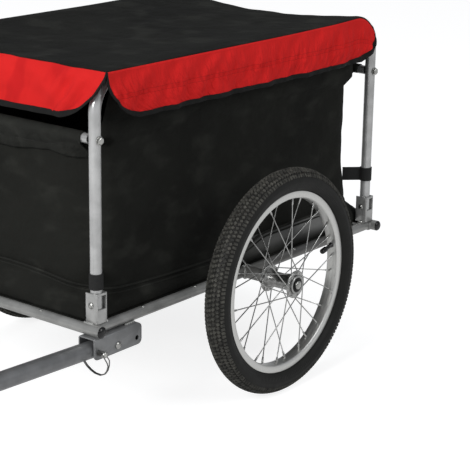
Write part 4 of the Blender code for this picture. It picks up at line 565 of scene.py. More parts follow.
for side, out in SIDES:
    x = out * HOOP_X
    low = SOCKET_Z + HOOP_FOOT_GAP
    front, rear = AXLE_Y - HOOP_Y, AXLE_Y + HOOP_Y
    rise = HOOP_TOP - HOOP_TUBE_BEND - low
    bend = math.pi / 2
    bent_tube(
        TUBE_R,
        (x, front, low),
        (0, 0, 1),
        [
            (Vector((0, 0, rise)),),
            (Vector((x, front + HOOP_TUBE_BEND, low + rise)), (1, 0, 0), -bend),
            (Vector((0, 2 * (HOOP_Y - HOOP_TUBE_BEND), 0)),),
            (Vector((x, rear - HOOP_TUBE_BEND, low + rise)), (1, 0, 0), -bend),
            (Vector((0, 0, -rise)),),
        ],
    )
    finish_piece(f"{side}_hoop_tube", "trailer", "hoop_paint", HOOP_PAINT, f"{side}_hoop")
for end, way in ENDS:
    y = AXLE_Y + way * HOOP_Y
    straight_tube(CROSSBAR_R, (-CROSSBAR_HALF, y, CROSSBAR_Z), (CROSSBAR_HALF, y, CROSSBAR_Z))
    finish_piece(f"{end}_crossbar_tube", "trailer", "hoop_paint", HOOP_PAINT, f"{end}_crossbar")
    for side, out in SIDES:
        corner = f"{end}_{side}"
        x = out * HOOP_X
        softened_copy(f"{corner}_socket")
        socket = (f"{corner}_socket_folded", "trailer", "frame_paint", SOCKET_PAINT, f"{corner}_socket")
        finish_piece(*socket, soften=0.0005)
        foot_beads = []
        for away, low_x, high_x in ((way * 0.0141, -0.0130, 0.0065), (-way * 0.0139, -0.0010, 0.0100)):
            bead = []
            for i in range(13):
                along = low_x + (high_x - low_x) * i / 12
                bead.append((x + out * along, y + away, AXLE_Z + TUBE_R + 0.0002))
            foot_beads.append(swept(bead, FOOT_BEAD_R, 8, False, foot_bead_lumps))
        joined(*foot_beads)
        finish_piece(f"{corner}_socket_beads", "trailer", "frame_paint", BRIGHT_WELD)
        rivet = []
        for way_out in (1, -1):
            rivet.append(spun(RIVET_HEAD, (x, y + way_out * RIVET_SEAT, RIVET_Z), (0, way_out, 0), 20))
        shank_ends = [(x, y - RIVET_SEAT, RIVET_Z), (x, y + RIVET_SEAT, RIVET_Z)]
        rivet.append(straight_tube(RIVET_SHANK_R, *shank_ends, steps=12))
        joined(*rivet)
        finish_piece(f"{corner}_rivet_domed", "trailer", "zinc", ZINC, f"{corner}_hoop_rivet")
        seat = (out * (HOOP_X + TUBE_R + 0.0001), y, CROSSBAR_Z)
        joined(spun(WASHER, seat, (out, 0, 0), 28), spun(BOLT_HEAD, seat, (out, 0, 0), 6))
        bolt = (f"{corner}_hexagon_bolt", "trailer", "zinc", ZINC, f"{corner}_crossbar_bolt")
        finish_piece(*bolt, angle=25.0, soften=0.0002)

# Cargo bag
# A sewn bag of black coated cloth: walls with rounded corners that narrow to a waist, a piped seam
# above the skirt, sleeves round the hoops and crossbars, and a stitched hem below each crossbar.
CLOTH = 0.0012
BAG_LOW = 0.2073
FLOOR_HALF = Vector((0.205, 0.3825))
WAIST_HALF = Vector((0.1885, 0.3580))
TOP_HALF = Vector((0.19500, 0.3640))
LOW_CORNER_R = 0.065
TUCK_X = 0.1900
TUCK_FRONT_Y = 0.3585
TUCK_REAR_Y = 0.3340
SEAM_END_Z = 0.2640
SEAM_SIDE_Z = 0.2370
SEAM_RISE = 0.0120


def ripple(point, scale, seed):
    """Soft noise from -1 to 1, the same on each run."""
    return noise.noise(Vector(point) * scale + Vector((seed, 2.7 * seed, 5.1 * seed)))


def cloth_finish(name, colour, shine, thread=620.0, deepen=0.6, bright=2.1, crumple=0.0030):
    """Coated plain-weave cloth: threads both ways, a soft mottle, and pale patches along the folds that are
    partly dust and partly painted sheen.
    """
    finish = Finish(name, colour, 0.85, Specular_IOR_Level=shine)
    u = finish.along(0, "UV")
    v = finish.along(1, "UV")
    weft = (u * (thread * 2 * math.pi)).wave()
    warp = (v * (thread * 2 * math.pi)).wave()
    weave = weft * warp
    mottle = finish.noise(7.0, 4.0)
    # Pale patches, partly dust and partly painted sheen.
    dust_and_sheen = finish.noise(16.0, 6.0, stretch=(1.0, 1.0, 1.8))
    dark = [value * deepen for value in colour]
    pale = [value * bright + 0.0010 for value in colour]
    tint = finish.blend(dark, colour, mottle.between(0.25, 0.6))
    tint = finish.blend(tint, pale, dust_and_sheen.between(0.48, 0.72) * 0.8)
    finish.tint(tint, dark, weave.between(0.2, 1.0) * 0.25)
    finish.set(Roughness=0.78 + mottle * 0.14)
    coarse = finish.bump(finish.noise(46.0, 6.0), crumple, 0.8)
    finish.set(Normal=finish.bump(weave, 0.00016, 0.55, coarse))
    return finish


BLACK_CLOTH = cloth_finish("black_coated_cloth", (0.0100, 0.0103, 0.0088), 0.09, crumple=0.0055)
WALL_CLOTH = cloth_finish("black_wall_cloth", (0.0138, 0.0141, 0.0121), 0.10, bright=1.7, crumple=0.0045)
# Painted highlight: the skirt's bulge is paler along each side, from about the axle rearwards, where it
# catches the light.
skirt_y, skirt_z = WALL_CLOTH.along(1), WALL_CLOTH.along(2)
highlight_run = skirt_y.between(0.24, 0.53) * (1.0 - skirt_y.between(0.545, 0.600))
highlight_height = skirt_z.between(0.210, 0.236) * (1.0 - skirt_z.between(0.2475, 0.2500))
highlight_side = WALL_CLOTH.along(0).size().between(0.170, 0.190)
WALL_CLOTH.tint_over((0.190, 0.190, 0.184), highlight_run * highlight_height * highlight_side * 0.9)
HEM_CLOTH = cloth_finish("black_hem_cloth", (0.0170, 0.0175, 0.0150), 0.16, crumple=0.0075)
PIPING = Finish("black_piping_cord", (0.020, 0.020, 0.018), 0.62)
PIPING.dull(300.0, 2.0, 0.3, 0.45)
PIPING.grain(1200.0, 2.0, 0.0003, 0.6)


def cloth_grid(rows, places, closed=False, ends=False):
    """A sheet of cloth from rows of points, with each point's place in the flat cloth in metres."""
    obj = sheet(rows, closed)
    if closed:
        places = [[*row, tuple(2 * Vector(row[-1]) - Vector(row[-2]))] for row in places]
    flat = [place for row in places for place in row]
    layer = obj.data.uv_layers.active
    for loop in obj.data.loops:
        layer.data[loop.index].uv = flat[loop.vertex_index]
    if closed:
        closed_up(ends=ends)
    return obj


def thicken(thickness, offset=0.0, facing=None):
    """Turns the sheet the right way out and gives it its thickness."""
    obj = bpy.context.object
    opened()
    bpy.ops.mesh.normals_make_consistent(inside=False)
    shut()
    if facing is not None:
        total = sum((Vector(face.normal) * face.area for face in obj.data.polygons), Vector())
        if total.dot(Vector(facing)) < 0:
            opened()
            bpy.ops.mesh.flip_normals()
            shut()
    solid = obj.modifiers.new("cloth", "SOLIDIFY")
    solid.thickness = thickness
    solid.offset = offset
    solid.use_even_offset = False
    bpy.ops.object.modifier_apply(modifier="cloth")


def sewn(name, finish, *nodes, body="trailer", slot="black_cloth"):
    """Hands over a piece of cloth, smooth all over."""
    return finish_piece(name, body, slot, finish, *nodes, angle=180.0)


def pick(items, wanted):
    """Opens the piece in hand for editing, with only the wanted points or faces selected."""
    bpy.ops.object.mode_set(mode="EDIT")
    bpy.ops.mesh.select_all(action="DESELECT")
    shut()
    for item in items:
        item.select = wanted(item)
    bpy.ops.object.mode_set(mode="EDIT")


def smooth(share):
    share = min(max(share, 0.0), 1.0)
    return share * share * (3.0 - 2.0 * share)


def bag_sizes(z):
    """Half width, half length and corner radius of the bag at a height."""
    stations = (
        (BAG_LOW, (*FLOOR_HALF, LOW_CORNER_R)),
        (0.2523, (0.1925, 0.3640, LOW_CORNER_R)),
        (0.3426, (*WAIST_HALF, 0.067)),
        (0.4790, (*WAIST_HALF, 0.067)),
        (0.4900, (*TOP_HALF, 0.050)),
        (HOOP_TOP, (*TOP_HALF, 0.050)),
    )
    for (low, below), (high, above) in zip(stations, stations[1:]):
        if z <= high:
            share = smooth((z - low) / (high - low))
            return [a + (b - a) * share for a, b in zip(below, above)]
    return stations[-1][1]


CORNER_STEPS = 25


def bag_columns():
    """(corner, share of the corner, share of the wall after it) once round the bag."""
    columns = []
    for corner in range(4):
        columns += [(corner, step / CORNER_STEPS, 0.0) for step in range(CORNER_STEPS + 1)]
        count = (44, 84, 44, 84)[corner]
        columns += [(corner, 1.0, step / count) for step in range(1, count)]
    return columns


def corner_point(z, corner, share):
    """A point on a corner, which is tucked in round the socket at the skirt's lower edge."""
    half_x, half_y, radius = bag_sizes(z)
    angle = (corner + share) * math.pi / 2
    sign_x = 1 if corner in (0, 3) else -1
    sign_y = 1 if corner in (0, 1) else -1
    x = sign_x * (half_x - radius) + radius * math.cos(angle)
    y = sign_y * (half_y - radius) + radius * math.sin(angle)
    tuck = 1.0 - smooth((z - BAG_LOW - 0.002) / 0.040)
    if tuck:
        turn = share if corner in (0, 2) else 1.0 - share
        low = FLOOR_HALF - Vector((LOW_CORNER_R, LOW_CORNER_R))
        tucked_y = TUCK_REAR_Y if sign_y > 0 else TUCK_FRONT_Y
        stops = (
            (0.0, FLOOR_HALF.x, low.y),
            (0.36, FLOOR_HALF.x, tucked_y),
            (0.50, TUCK_X, tucked_y),
            (0.64, TUCK_X, FLOOR_HALF.y),
            (1.0, low.x, FLOOR_HALF.y),
        )
        for (start, x0, y0), (stop, x1, y1) in zip(stops, stops[1:]):
            if turn <= stop:
                part = (turn - start) / (stop - start)
                x += (sign_x * (x0 + (x1 - x0) * part) - x) * tuck
                y += (sign_y * (y0 + (y1 - y0) * part) - y) * tuck
                break
    return Vector((x, AXLE_Y + y, z))


def bag_point(z, column):
    corner, share, wall = column
    first = corner_point(z, corner, share)
    if not wall:
        return first
    return first.lerp(corner_point(z, (corner + 1) % 4, 0.0), wall)


def bag_top(column):
    corner, share, wall = column
    if wall or share == 1.0:
        return CROSSBAR_Z if corner in (0, 2) else HOOP_TOP
    towards_end = share if corner in (0, 2) else 1.0 - share
    return HOOP_TOP + (CROSSBAR_Z - HOOP_TOP) * smooth(2.2 * towards_end)


def seam_height(point):
    """The piped seam runs highest across the two ends and sinks towards the axle on the sides."""
    towards_end = abs(point.y - AXLE_Y) / WAIST_HALF.y
    across = abs(point.x) / WAIST_HALF.x
    if towards_end > 0.94:
        return SEAM_END_Z - 0.0150 * across ** 2
    if point.y > AXLE_Y:
        return SEAM_SIDE_Z + SEAM_RISE * smooth((point.y - AXLE_Y) / 0.08)
    return SEAM_SIDE_Z + SEAM_RISE * towards_end ** 3


def bag_normal(column):
    corner, share, wall = column
    if wall:
        return (Vector((0, 1, 0)), Vector((-1, 0, 0)), Vector((0, -1, 0)), Vector((1, 0, 0)))[corner]
    angle = (corner + share) * math.pi / 2
    return Vector((math.cos(angle), math.sin(angle), 0.0))


BAG_ROWS = 80
bag_rows, bag_places = [], []
columns = bag_columns()
run = 0.0
runs = []
for i, column in enumerate(columns):
    runs.append(run)
    run += (bag_point(0.4, columns[(i + 1) % len(columns)]) - bag_point(0.4, column)).length
for row in range(BAG_ROWS + 1):
    share = row / BAG_ROWS
    line, places = [], []
    for column, along in zip(columns, runs):
        top = bag_top(column)
        z = BAG_LOW + CLOTH / 2 + (top - BAG_LOW - CLOTH / 2) * share
        point = bag_point(z, column)
        normal = bag_normal(column)
        seam = seam_height(point)
        free = smooth(share / 0.04) * smooth((1.0 - share) / 0.22)
        slack = 0.0046 * ripple((point.x, point.y, z * 0.7), 9.0, 1.0)
        slack += 0.0024 * ripple((point.x + z * 0.6, point.y + z * 0.6, z * 1.3), 21.0, 2.0)
        slack += 0.0009 * ripple((point.x - z * 0.7, point.y - z * 0.7, z), 55.0, 3.0)
        near_seam = math.exp(-((z - seam) / 0.010) ** 2)
        bulge = 0.0062 * math.exp(-((z - seam + 0.016) / 0.010) ** 2)
        at_corner = abs(point.x) > 0.17 and abs(point.y - AXLE_Y) > 0.34
        slack = slack * (1.0 - 0.8 * near_seam) - 0.0018 * near_seam + bulge * (0.0 if at_corner else 1.0)
        calm = 1.0 if column[2] else 0.35 + 0.65 * abs(2.0 * column[1] - 1.0) ** 3
        line.append(point + normal * slack * free * calm)
        places.append((along, z))
    bag_rows.append(line)
    bag_places.append(places)
cloth_grid(bag_rows, bag_places, closed=True)
thicken(CLOTH)
cargo_bag = sewn("cargo_bag_walls", WALL_CLOTH, "cargo_bag")

floor_rows, floor_places = [], []
edge = [bag_point(BAG_LOW + CLOTH, column) for column in columns]
for ring in range(9):
    share = 1.0 - ring / 8.0 * 0.98
    middle = Vector((0.0, AXLE_Y, BAG_LOW + CLOTH))
    line = []
    for point in edge:
        inner = middle + (point - middle) * share
        inner.z -= 0.0006 * (1.0 - share) * (1.0 + ripple(inner, 14.0, 3.0))
        line.append(inner)
    floor_rows.append(line)
    floor_places.append([(point.x, point.y) for point in line])
floor_sheet = cloth_grid(floor_rows, floor_places, closed=True)
pick(
    floor_sheet.data.vertices,
    lambda vertex: math.hypot(vertex.co.x, vertex.co.y - AXLE_Y) < 0.03 * FLOOR_HALF.y,
)
bpy.ops.mesh.edge_face_add()
shut()
thicken(CLOTH, 0.0, (0, 0, 1))
bag_floor = sewn("cargo_bag_floor", BLACK_CLOTH)

seam_path = []
for column in columns:
    z = 0.25
    for _ in range(4):
        z = seam_height(bag_point(z, column))
    seam_path.append((z, column))
pipes = []
for lift, reach, radius in ((0.0, 0.0004, 0.0023), (-0.0062, 0.0010, 0.0017)):
    path = []
    for z, column in seam_path:
        path.append(bag_point(z + lift, column) + bag_normal(column) * (reach + 0.0008))
    pipes.append(swept(path, radius, 8, True))
joined(*pipes)
bag_piping = sewn("cargo_bag_piping", HEM_CLOTH)

# The skirt's lower edge is turned in over the tubes, and the screws go through it.
hem_runs = []
for side, out in SIDES:
    for start, stop in ((-0.357, -0.0125), (0.0125, 0.333)):
        hem_runs.append(((out * RAIL_X, AXLE_Y + start), (out * RAIL_X, AXLE_Y + stop), (out, 0)))
for end, way in ENDS:
    hem_runs.append(((-0.189, AXLE_Y + way * CROSS_Y), (0.189, AXLE_Y + way * CROSS_Y), (0, way)))
turned_hems = []
for start, stop, outwards in hem_runs:
    rows, places = [], []
    run_length = math.dist(start, stop)
    count = int(run_length / 0.008)
    for i in range(count + 1):
        base = Vector((*start, AXLE_Z)).lerp(Vector((*stop, AXLE_Z)), i / count)
        line = []
        for j in range(11):
            angle = math.radians(82.0 + 98.0 * j / 10)
            reach = TUBE_R + 0.0010
            if j:
                reach += 0.0004 * (1.0 + ripple((base.x, base.y, j * 0.01), 60.0, 12.0))
            aside = Vector((*outwards, 0.0)) * reach * math.cos(angle)
            line.append(base + aside + Vector((0, 0, reach * math.sin(angle))))
        rows.append(line)
        places.append([(run_length * i / count, 0.0018 * j) for j in range(11)])
    cloth_grid(rows, places)
    thicken(0.0010)
    turned_hems.append(bpy.context.object)
joined(*turned_hems)
skirt_hem = sewn("cargo_bag_turned_hem", BLACK_CLOTH)

HOOP_SLEEVE_HALF = 0.295
HOOP_SLEEVE_R = 0.0105
sleeves = []
for side, out in SIDES:
    rows, places = [], []
    for i in range(61):
        y = AXLE_Y - HOOP_SLEEVE_HALF + 2 * HOOP_SLEEVE_HALF * i / 60
        line, spots = [], []
        for j in range(20):
            angle = 2 * math.pi * j / 20
            reach = HOOP_SLEEVE_R + 0.0006 * ripple((out, y, math.sin(angle) * 0.02), 40.0, 4.0)
            rise = reach * math.sin(angle)
            line.append(Vector((out * HOOP_X + reach * math.cos(angle), y, HOOP_TOP + rise)))
            spots.append((reach * angle, y))
        rows.append(line)
        places.append(spots)
    cloth_grid(rows, places, closed=True)
    thicken(CLOTH * 0.8)
    sleeves.append(bpy.context.object)
joined(*sleeves)
side_sleeves = sewn("cargo_bag_hoop_sleeves", BLACK_CLOTH)


HEM_Z = 0.4545
STITCH_Z = 0.4738


def sleeve_end(x, way):
    """0 along the sleeve and 1 at its ends, where it closes round the bar."""
    return smooth((abs(x) - (0.166 if way < 0 else 0.151)) / 0.016)


def hem_height(x, way):
    """The lower edge of the hem, which climbs to the crossbar at the sleeve's ends."""
    return HEM_Z + 0.0080 * smooth(abs(x) / 0.10) - 0.004 * smooth((abs(x) - 0.10) / 0.05) + (
        0.0335 * sleeve_end(x, way)
    )


def stitch_height(x):
    """The stitch line between the sleeve and its hem."""
    return STITCH_Z + 0.0120 * smooth((abs(x) - 0.085) / 0.080)


def wall_depth(x, z):
    """How far the bag's end wall lies from the axle at this place."""
    half_x, half_y, radius = bag_sizes(z)
    past = max(abs(x) - (half_x - radius), 0.0)
    return half_y - radius + math.sqrt(max(radius**2 - past**2, 0.0))


SLEEVE_R = 0.0092
SLEEVE_HALF = 0.1835
HEM_OUT = 0.0036
HEM_IN = 0.0030
CLOSED_R = 0.0088
STITCHES = 78
STITCH_RUN_HALF = 0.140
STITCH_HALF = 0.0014
THREAD_R = 0.00032
for end, way in ENDS:
    y_bar = AXLE_Y + way * HOOP_Y
    rows, places = [], []
    count = 72
    for i in range(count + 1):
        x = SLEEVE_HALF * (2.0 * i / count - 1.0)
        low = hem_height(x, way)
        section = []
        deep = wall_depth(x, low)
        outer_low = Vector((x, AXLE_Y + way * (deep + HEM_OUT), low))
        inner_low = Vector((x, AXLE_Y + way * (deep - HEM_IN), low))
        close = sleeve_end(x, way)
        outer_low.y += (y_bar + way * CLOSED_R - outer_low.y) * close
        inner_low.y += (y_bar - way * CLOSED_R - inner_low.y) * close
        arc_points = []
        for j in range(15):
            angle = math.radians(-20.0 + 220.0 * j / 14)
            y = y_bar + way * SLEEVE_R * math.cos(angle)
            arc_points.append(Vector((x, y, CROSSBAR_Z + SLEEVE_R * math.sin(angle))))
        for j in range(12):
            section.append(outer_low.lerp(arc_points[0], j / 12))
        section += arc_points
        for j in range(1, 9):
            section.append(arc_points[-1].lerp(inner_low, j / 8))
        line = []
        spots = []
        length = 0.0
        for k, point in enumerate(section):
            if k:
                length += (point - section[k - 1]).length
            tuck = 0.0024 * ripple((x * 1.6, point.z * 2.0 + x * 0.5, way), 30.0, 5.0)
            pucker = 0.0008 * math.sin(x * 260.0 + 2.0 * math.sin(x * 41.0))
            off_bar = smooth((CROSSBAR_Z - 0.004 - point.z) / 0.020)
            off_bar *= 1.0 - smooth((abs(x) - 0.14) / 0.03)
            groove = 0.0022 * math.exp(-((point.z - stitch_height(x)) / 0.0028) ** 2)
            outside = 1.0 if k < 12 else 0.0
            shift = (max(tuck + pucker, -0.0012) * off_bar - groove) * outside
            line.append(point + Vector((0.0, way * shift, 0.0)))
            spots.append((x, length))
        rows.append(line)
        places.append(spots)
    cloth_grid(rows, places)
    thicken(CLOTH, 0.0, (0, way, 0.2))
    sewn(f"{end}_crossbar_sleeve", HEM_CLOTH)
    stitches = []
    for i in range(STITCHES):
        x = -STITCH_RUN_HALF + 2 * STITCH_RUN_HALF * i / (STITCHES - 1)
        z = stitch_height(x)
        share = (z - hem_height(x, way)) / (CROSSBAR_Z - 0.003 - hem_height(x, way))
        y = AXLE_Y + way * (wall_depth(x, z) + HEM_OUT)
        y += (y_bar + way * 0.0086 - y) * share - way * 0.0008
        sunk_y = y - way * 0.0004
        stitch = [(x - STITCH_HALF, sunk_y, z), (x, y, z), (x + STITCH_HALF, sunk_y, z)]
        stitches.append(swept(stitch, THREAD_R, 5))
    joined(*stitches)
    sewn(f"{end}_hem_stitches", PIPING)

BOARD = Finish("black_fibre_board", (0.030, 0.030, 0.028), 0.6)
BOARD.tint((0.020, 0.020, 0.019), (0.042, 0.041, 0.038), BOARD.noise(160.0, 4.0))
BOARD.dull(40.0, 2.0, 0.3, 0.45)
softened_copy("floor_board")
finish_piece("floor_board_panel", "trailer", "board", BOARD, "floor_board", soften=0.0008)

# Straps
# A band of 25 mm black webbing is sewn in a loop round each post and runs to the bag's corner.
WEBBING = Finish("black_ribbed_webbing", (0.017, 0.017, 0.016), 0.8, Specular_IOR_Level=0.3)
ribs = (WEBBING.along(1, "UV") * (2 * math.pi * 520.0)).wave()
picks = (WEBBING.along(0, "UV") * (2 * math.pi * 620.0)).wave()
WEBBING.tint((0.007, 0.007, 0.007), (0.022, 0.022, 0.021), ribs.between(-0.6, 1.0))
WEBBING.dull(30.0, 2.0, 0.15, 0.70)
WEBBING.set(Normal=WEBBING.bump(ribs + picks * 0.4, 0.0003, 0.7))
BAND = 0.025
WEBBING_THICKNESS = 0.0014
PLY = 0.0009
STRAP_LAP = math.radians(28.0)
for end, way, z in (("front", -1, 0.274), ("rear", 1, 0.300)):
    for side, out in SIDES:
        post = Vector((out * HOOP_X, AXLE_Y + way * HOOP_Y, z))
        half_x, half_y, radius = bag_sizes(z - BAND / 2)
        corner = Vector((out * (half_x - radius), AXLE_Y + way * (half_y - radius), z))
        inwards = (corner - post).normalized()
        aside = Vector((-inwards.y, inwards.x, 0.0))
        tail = (corner - inwards * (radius + 0.0004) - post).length
        loop_r = TUBE_R + 0.0011
        path = []
        for i in range(9):
            path.append(inwards * (tail + (loop_r * 1.1 - tail) * i / 8) + aside * PLY)
        for i in range(41):
            angle = STRAP_LAP + (2 * math.pi - 2 * STRAP_LAP) * i / 40
            path.append(inwards * loop_r * math.cos(angle) + aside * loop_r * math.sin(angle))
        for i in range(9):
            path.append(inwards * (loop_r * 1.1 + (tail - loop_r * 1.1) * i / 8) - aside * PLY)
        rows, places = [], []
        length = 0.0
        for k, step in enumerate(path):
            if k:
                length += (step - path[k - 1]).length
            crease = 0.0003 * ripple((step.x, step.y, out * way), 90.0, 6.0)
            base = post + step * (1.0 + crease) - Vector((0, 0, BAND / 2))
            rows.append([base + Vector((0, 0, BAND * j / 6)) for j in range(7)])
            places.append([(length, BAND * j / 6) for j in range(7)])
        cloth_grid(rows, places)
        thicken(WEBBING_THICKNESS)
        strap = (f"{end}_{side}_webbing_strap", "trailer", "webbing", WEBBING, f"{end}_{side}_strap")
        finish_piece(*strap, angle=60.0)

# Cover
# A black cloth top is stretched over the hoops, with a red flap sewn along each of its four edges.
# Black binding closes the flaps' free edges, and a row of stitches puckers each side flap.
HALF_X = 0.234
FRONT_Y = 0.376
REAR_Y = 0.360
FLAP_DEPTH = 0.080
COVER_CLOTH = 0.0013
COVER_TOP = 0.6074
BEND_Y = HOOP_Y - HOOP_TUBE_BEND
BEND_Z = HOOP_TOP - HOOP_TUBE_BEND
BEND_R = COVER_TOP - 0.00075 - BEND_Z
LOW_Z = COVER_TOP - FLAP_DEPTH
DROOP_START = 0.300
FOLD_DEPTH = 0.0035
FOLD_LENGTH = 0.115


def cover_half_x(y):
    """Half the cover's width, which is drawn in a little towards the rear."""
    return HALF_X - 0.009 * smooth((y - 0.20) / 0.12)


REAR_HALF_X = cover_half_x(REAR_Y)


def cover_rear_y(x):
    return REAR_Y - 0.006 * max(abs(x) - 0.215, 0.0) / (REAR_HALF_X - 0.215)


def cover_top_z(x, y):
    across = 1.0 - min(abs(x) / HOOP_X, 1.0) ** 2
    middle = (REAR_Y - FRONT_Y) / 2
    along = 1.0 - min(abs(y - middle) / (middle + FRONT_Y), 1.0) ** 2
    sag = across * (0.010 * along + 0.0165 * max(y / REAR_Y, 0.0) ** 3)
    past_hoop = max(abs(x) - HOOP_X, 0.0) / (cover_half_x(y) - HOOP_X)
    past_front = max(-y - BEND_Y, 0.0) / (FRONT_Y - BEND_Y)
    past_rear = max(y - BEND_Y, 0.0)
    bend = BEND_R - math.sqrt(BEND_R**2 - past_rear**2)
    droop_y = max(y - DROOP_START, 0.0) / (REAR_Y - 0.006 - DROOP_START)
    droop = 0.022 * past_hoop**2 * min(droop_y, 1.2) ** 1.5
    edge_drop = 0.001 * max(past_hoop, past_front) ** 2 * (1.0 - smooth((y - 0.05) / 0.20))
    edge_drop -= 0.0006 * past_hoop * smooth((y - 0.05) / 0.20)
    slack = 0.0020 * ripple((x, y, 0.0), 15.0, 7.0) * across ** 0.5
    slack += 0.0014 * ripple((x * 0.7 + y * 0.4, y - x * 0.3, 0.0), 40.0, 8.0) * across ** 0.5
    return BEND_Z + BEND_R - sag - bend - droop - edge_drop + slack - 0.0008


def side_flap_point(along, share, out):
    """A point on a side flap: along from 0 in front to 1 behind, share from 0 at the crease down."""
    rear_y = cover_rear_y(REAR_HALF_X)
    front_inset = 0.072 * (0.68 * share**1.8 + 0.32 * share**10)
    rear_inset = 0.045 * share**5 - 0.016 * share * (1.0 - share)
    crease_at = -FRONT_Y + along * (rear_y + FRONT_Y)
    crease = cover_top_z(cover_half_x(crease_at), crease_at)
    y = -FRONT_Y + front_inset + along * (rear_y + FRONT_Y - front_inset - rear_inset)
    fold = FOLD_DEPTH * share * math.sin(2 * math.pi * y / FOLD_LENGTH + out)
    band = math.exp(-((share - 0.56) / 0.16) ** 2)
    gather = 0.0014 * math.sin(y * 430.0 + share * 5.0 + 2.4 * math.sin(y * 61.0) + out)
    gather += 0.0010 * math.sin(y * 251.0 - share * 4.0 + 1.7 * math.sin(y * 37.0))
    slant = 0.0046 * ripple((y * 1.5 + share * 0.07, share * 0.05, out), 24.0, 9.0)
    slant += 0.0022 * ripple((y * 1.2 - share * 0.05, share * 0.04, out), 52.0, 13.0)
    loose = smooth(share * 5.0)
    stitched = 0.0009 * math.exp(-((share - 0.56) / 0.035) ** 2)
    off_line = (max(fold, -0.0005) + gather * band + slant) * loose
    x = cover_half_x(crease_at) + 0.001 * share + off_line - stitched
    return Vector((out * x, AXLE_Y + y, crease + (LOW_Z - crease) * share))


def end_flap_point(along, share, way):
    """A point on the front or the rear flap: along from 0 on the right to 1 on the left."""
    x = (REAR_HALF_X if way > 0 else HALF_X) * (2.0 * along - 1.0)
    crease_y = cover_rear_y(x) if way > 0 else FRONT_Y
    crease = cover_top_z(x, way * crease_y)
    z = crease + (LOW_Z - crease) * share
    if way > 0:
        inset = 0.026 * smooth(share / 0.2) + 0.075 * share**2
    else:
        inset = 0.072 * share**1.85 + 0.017 * share**16
    at = x * (1.0 - inset / HALF_X)
    fold = FOLD_DEPTH * share * math.sin(2 * math.pi * at / FOLD_LENGTH + way)
    slant = 0.0042 * ripple((at * 1.3 - share * 0.06, share * 0.08, way), 17.0, 10.0)
    slant += 0.0010 * ripple((at + share * 0.05, share * 0.12, way), 48.0, 11.0)
    if way > 0:
        rise = min(max(z - BEND_Z, 0.0), BEND_R)
        hang = BEND_Y + math.sqrt(BEND_R**2 - rise**2)
        y = crease_y + (hang - crease_y) * min(share * 4.0, 1.0) * (1.0 - smooth((abs(at) - 0.2165) / 0.0085))
    else:
        y = FRONT_Y + 0.0105 * math.sin(min(share * 1.25, 1.0) * math.pi / 2)
        near_corner = math.exp(-(((abs(at) - 0.165) / 0.05) ** 2))
        crimp = math.sin((abs(at) * 0.9 + share * 0.050) * 2 * math.pi / 0.034)
        y += 0.0034 * near_corner * crimp * smooth(share * 3.0) * (1.0 - share**5)
    y += max(fold, -0.0002) + (slant + 0.0008) * smooth(share * 4.0)
    return Vector((at, AXLE_Y + way * y, z))


def slopes(point_at, along, share, key):
    """How a flap's point moves with each of its two shares."""
    before, after = max(along - 0.002, 0.0), min(along + 0.002, 1.0)
    above, below = max(share - 0.01, 0.0), min(share + 0.01, 1.0)
    by_along = (point_at(after, share, key) - point_at(before, share, key)) / (after - before)
    by_share = (point_at(along, below, key) - point_at(along, above, key)) / (below - above)
    return by_along, by_share


def moved_over(point_at, along, share, key, step):
    """The two shares of the flap's point that lies one short step away across its surface."""
    by_along, by_share = slopes(point_at, along, share, key)
    mixed = by_along.dot(by_share)
    both_ways = by_along.length_squared * by_share.length_squared - mixed**2
    step_along, step_share = by_along.dot(step), by_share.dot(step)
    along += (step_along * by_share.length_squared - step_share * mixed) / both_ways
    share += (step_share * by_along.length_squared - step_along * mixed) / both_ways
    return min(max(along, 0.0), 1.0), min(max(share, 0.0), 1.0)


RED_CLOTH = cloth_finish(
    "red_coated_cloth", (0.64, 0.016, 0.015), 0.14, deepen=0.94, bright=1.05, crumple=0.0008
)
# Painted shade: darker diagonal bands on the front and rear flaps, where their soft folds fall in shade.
fold_shade = RED_CLOTH.noise(26.0, 2.0, "UV", (1.0, 0.35, 1.0), 0.75)
RED_CLOTH.tint_over((0.47, 0.008, 0.010), fold_shade.between(0.50, 0.66) * 0.6)
GATHERED_CLOTH = cloth_finish("red_gathered_cloth", (0.66, 0.016, 0.016), 0.14, deepen=0.90, bright=1.06)
puckers = GATHERED_CLOTH.noise(95.0, 3.0, "UV", (1.0, 0.30, 1.0), 0.35)
down_flap = GATHERED_CLOTH.along(1, "UV")
band = 1.0 - ((down_flap - 0.046) / 0.030).size().between(0.3, 1.4)
stitched = (((down_flap - 0.0425) * 1000.0).size() - 3.5).size()
GATHERED_CLOTH.set(Normal=GATHERED_CLOTH.bump(puckers * (0.35 + band), 0.0060, 1.0))
GATHERED_CLOTH.tint((0.30, 0.008, 0.008), (0.68, 0.017, 0.016), stitched.between(0.1, 0.7) * 0.5 + 0.5)
BINDING = Finish("black_binding_tape", (0.008, 0.008, 0.008), 0.8, Specular_IOR_Level=0.12)
tape = (BINDING.along(0, "UV") * (2 * math.pi * 900.0)).wave()
BINDING.tint((0.006, 0.006, 0.006), (0.014, 0.014, 0.013), tape.between(-0.5, 1.0))
BINDING.dull(50.0, 2.0, 0.2, 0.62)
BINDING.set(Normal=BINDING.bump(tape, 0.0002, 0.6))

rows, places = [], []
for i in range(97):
    line, spots = [], []
    for j in range(65):
        over = 2.0 * j / 64 - 1.0
        y = -FRONT_Y + (cover_rear_y(over * REAR_HALF_X) + FRONT_Y) * i / 96
        x = over * cover_half_x(y)
        line.append(Vector((x, AXLE_Y + y, cover_top_z(x, y))))
        spots.append((x, y))
    rows.append(line)
    places.append(spots)
cloth_grid(rows, places)
thicken(COVER_CLOTH, 0.0, (0, 0, 1))
cover_top = sewn("cover_top_panel", BLACK_CLOTH, "cover", body="cover")

